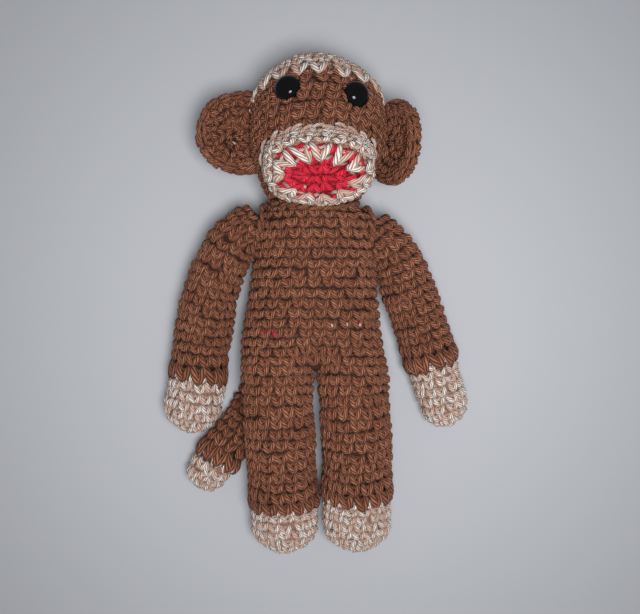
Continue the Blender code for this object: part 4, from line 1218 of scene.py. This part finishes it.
def make_eye(side):
    """Raise a moulded dome from its rim by extruding and narrowing one ring at a time."""
    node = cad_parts[f"{side}_eye"]
    points = np.array([vertex.co for vertex in node.data.vertices])
    out = (points - HEAD) @ unit(points.mean(axis=0) - HEAD)
    order = np.argsort(out)
    top = points[order[-EYE_END_POINTS:]].mean(axis=0)
    foot = points[order[:EYE_END_POINTS]].mean(axis=0)
    axis = unit(unit(top - foot) + EYE_FACING)
    bpy.ops.mesh.primitive_circle_add(vertices=EYE_SIDES, radius=EYE_OUTLINE[0][0],
                                      fill_type="NGON")
    eye = bpy.context.object
    eye.name = f"{side}_eye_dome"
    bpy.ops.object.mode_set(mode="EDIT")
    bpy.ops.mesh.select_all(action="SELECT")
    for (near, low), (far, high) in zip(EYE_OUTLINE, EYE_OUTLINE[1:]):
        bpy.ops.mesh.extrude_region_move(TRANSFORM_OT_translate={"value": (0, 0, high - low)})
        bpy.ops.transform.resize(value=(far / near, far / near, 1))
    bpy.ops.mesh.select_all(action="SELECT")
    bpy.ops.mesh.normals_make_consistent(inside=False)
    bpy.ops.object.mode_set(mode="OBJECT")
    eye.location = Vector(top - axis * (EYE_OUTLINE[-1][1] - EYE_PROUD)) + Vector(EYE_SHIFTS[side])
    eye.rotation_euler = Vector(axis).to_track_quat("Z", "Y").to_euler()
    bpy.ops.object.transform_apply(location=True, rotation=True, scale=True)
    bpy.ops.object.shade_smooth()
    bpy.ops.object.select_all(action="DESELECT")
    finish_piece(eye, EYE_BLACK, "head", (f"{side}_eye",))
    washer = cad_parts[f"{side}_eye_washer"]
    washer.data.materials.clear()
    washer.data.materials.append(WASHER_WHITE)


# Sewing: seam, body, finish, strands, half-length and radius of a strand, and how far the
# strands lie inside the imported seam
SEAMS = (("neck", "neck", BROWN, 24, 0.0034, 0.0011, 0.0012),
         ("muzzle", "head", CREAM, 24, 0.0032, 0.0009, 0.0),
         ("right_shoulder", "right_shoulder", BROWN, 14, 0.0032, 0.0011, 0.0),
         ("left_shoulder", "left_shoulder", BROWN, 14, 0.0032, 0.0011, 0.0))
# Sewing strands take part of the painted shade
SEAM_SHADE = 0.75
SEAM_UNEVENNESS = 0.08
SEAM_SLANT = 0.30
SEAM_NEAREST = 16
STRAND_RISE, STRAND_CURVE = 0.5, 1.1
STRAND_RADII = np.array((0.7, 0.95, 1, 1, 1, 0.95, 0.7))


def sewing(seam, body, finish, strands, reach, radius, inset):
    """Slanted strands of sewing yarn over the ring where two crocheted pieces meet."""
    name = f"{seam}_sewing"
    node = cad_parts[f"{seam}_seam"]
    points = np.array([vertex.co for vertex in node.data.vertices])
    middle = points.mean(axis=0)
    axes = np.linalg.svd(points - middle, full_matrices=False)[2]
    normal = axes[2]
    angles = np.arctan2((points - middle) @ axes[1], (points - middle) @ axes[0])
    rng = np.random.RandomState(SEEDS[name])

    def ring_place(angle):
        """The seam's place at an angle, with the reach of the vertices nearest to it."""
        off = np.abs(np.angle(np.exp(1j * (angles - angle))))
        near = points[np.argsort(off)[:SEAM_NEAREST]] - middle
        rise = near @ normal
        wide = np.linalg.norm(near - rise[:, None] * normal, axis=1).mean() - inset
        way = axes[0] * math.cos(angle) + axes[1] * math.sin(angle)
        return middle + way * wide + normal * rise.mean()

    parts = []
    for number in range(strands):
        place = ring_place(math.tau * (number + rng.normal(0, SEAM_UNEVENNESS)) / strands)
        out = unit((place - middle) - normal * ((place - middle) @ normal))
        tangent = np.cross(normal, out)
        path = [place + tangent * reach * step + normal * reach * SEAM_SLANT * step
                + out * radius * (STRAND_RISE - STRAND_CURVE * step * step)
                for step in np.linspace(-1, 1, len(STRAND_RADII))]
        parts.append(strand(path, radius * STRAND_RADII, rng.rand(), SEAM_SHADE,
                            height_squash=1.0))
    finish_piece(join_parts(name, parts), finish, body, (f"{seam}_seam",))


# Ends of another yarn that peep out between stitches: piece, the piece that carries it, body,
# finish, and places as (x, y, length)
YARN_ENDS = (
    ("waist_red_ends", "torso_crochet", "torso", RED,
     ((-0.0268, -0.0133, 0.0012), (-0.0233, -0.0128, 0.0016), (-0.0204, -0.0140, 0.0024),
      (0.0220, -0.0088, 0.0015))),
    ("waist_cream_ends", "torso_crochet", "torso", CREAM,
     ((0.0082, -0.0098, 0.0017), (0.0156, -0.0093, 0.0014), (0.0222, -0.0096, 0.0010))),
    ("ear_cream_end", "right_ear_crochet", "right_ear", CREAM, ((-0.0412, 0.0825, 0.0030),)),
    ("mouth_cream_end", "mouth_crochet", "head", CREAM, ((-0.0049, 0.0565, 0.0012),)),
)
YARN_END_RADIUS = 0.00065
YARN_END_RADII = YARN_END_RADIUS * np.array((0.7, 1, 1, 0.7))
YARN_END_TINT = 0.9
YARN_END_LEAN = (0.2, 0.35)
YARN_END_STEPS = (-0.5, -0.2, 0.2, 0.5)
YARN_END_RISE, YARN_END_CURVE = 0.9, 5
ABOVE_ALL = 0.2


def yarn_ends(name, carrier_name, body, finish, places):
    """Short ends of yarn that show between the stitches of the piece that carries them."""
    carrier = bpy.data.objects[carrier_name].data
    points = [tuple(vertex.co) for vertex in carrier.vertices]
    surface = BVHTree.FromPolygons(points, [tuple(face.vertices) for face in carrier.polygons])
    rng = np.random.RandomState(SEEDS[name])
    parts = []
    for x, y, length in places:
        high = surface.ray_cast(Vector((x, y, ABOVE_ALL)), Vector((0, 0, -1)))[0].z
        angle = math.pi / 2 + rng.normal(*YARN_END_LEAN)
        way = np.array((math.cos(angle), math.sin(angle), 0))
        path = [np.array((x, y, high)) + way * length * step
                + UP * YARN_END_RADIUS * (YARN_END_RISE - YARN_END_CURVE * step * step)
                for step in YARN_END_STEPS]
        parts.append(strand(path, YARN_END_RADII, YARN_END_TINT, 1.0, shift=0))
    finish_piece(join_parts(name, parts), finish, body)


# Camera, floor and light

CAMERA_PLACE = (0.0023, -0.0007, 0.600)
PIXELS_PER_METRE = 1861.0
FRAME_WIDTH = 640
SENSOR_WIDTH = 36
KEY_LIGHT = (0.060, -0.073, 0.680)
KEY_SIZE = 0.20
KEY_SPREAD = math.radians(70)
KEY_AIM = (0.012, 0.010, 0.020)
KEY_POWER = 0.63
WORLD_LEVEL = 0.24
WORLD_COLOUR = (0.97, 0.98, 1.0, 1)
FLOOR_SIZE = 4
FLOOR_PLACE = (0, 0, -0.0002)
FLOOR_COLOUR = (0.52, 0.535, 0.57, 1)
FLOOR_ROUGHNESS = 0.9


def make_camera():
    bpy.ops.object.camera_add(location=CAMERA_PLACE, rotation=(0, 0, 0))
    camera = bpy.context.object
    camera.data.sensor_width = SENSOR_WIDTH
    camera.data.lens = SENSOR_WIDTH * CAMERA_PLACE[2] * PIXELS_PER_METRE / FRAME_WIDTH
    bpy.context.scene.camera = camera
    bpy.ops.object.select_all(action="DESELECT")


def make_studio():
    """A soft key light beside the camera, an even sky, and a pale table."""
    bpy.ops.mesh.primitive_plane_add(size=FLOOR_SIZE, location=FLOOR_PLACE)
    floor = bpy.context.object
    floor.name = "floor"
    material, _, shader = new_material("pale_floor")
    shader.inputs["Base Color"].default_value = FLOOR_COLOUR
    shader.inputs["Roughness"].default_value = FLOOR_ROUGHNESS
    floor.data.materials.append(material)
    bpy.ops.object.select_all(action="DESELECT")
    world = bpy.data.worlds.new("studio")
    bpy.context.scene.world = world
    world.use_nodes = True
    background = world.node_tree.nodes["Background"]
    background.inputs["Color"].default_value = WORLD_COLOUR
    background.inputs["Strength"].default_value = WORLD_LEVEL
    bpy.ops.object.light_add(type="AREA", location=KEY_LIGHT)
    light = bpy.context.object
    light.name = "key_light"
    light.data.size = KEY_SIZE
    light.data.energy = KEY_POWER
    light.data.spread = KEY_SPREAD
    aim = Vector(KEY_AIM) - Vector(KEY_LIGHT)
    light.rotation_euler = aim.to_track_quat("-Z", "Y").to_euler()
    bpy.ops.object.select_all(action="DESELECT")
    bpy.context.scene.view_settings.view_transform = "Standard"


make_camera()
make_studio()
make_torso()
make_head()
make_muzzle()
make_ears()
make_arms()
make_legs()
make_tail()
make_eye("right")
make_eye("left")
for seam_row in SEAMS:
    sewing(*seam_row)
for end_row in YARN_ENDS:
    yarn_ends(*end_row)

bpy.context.view_layer.update()
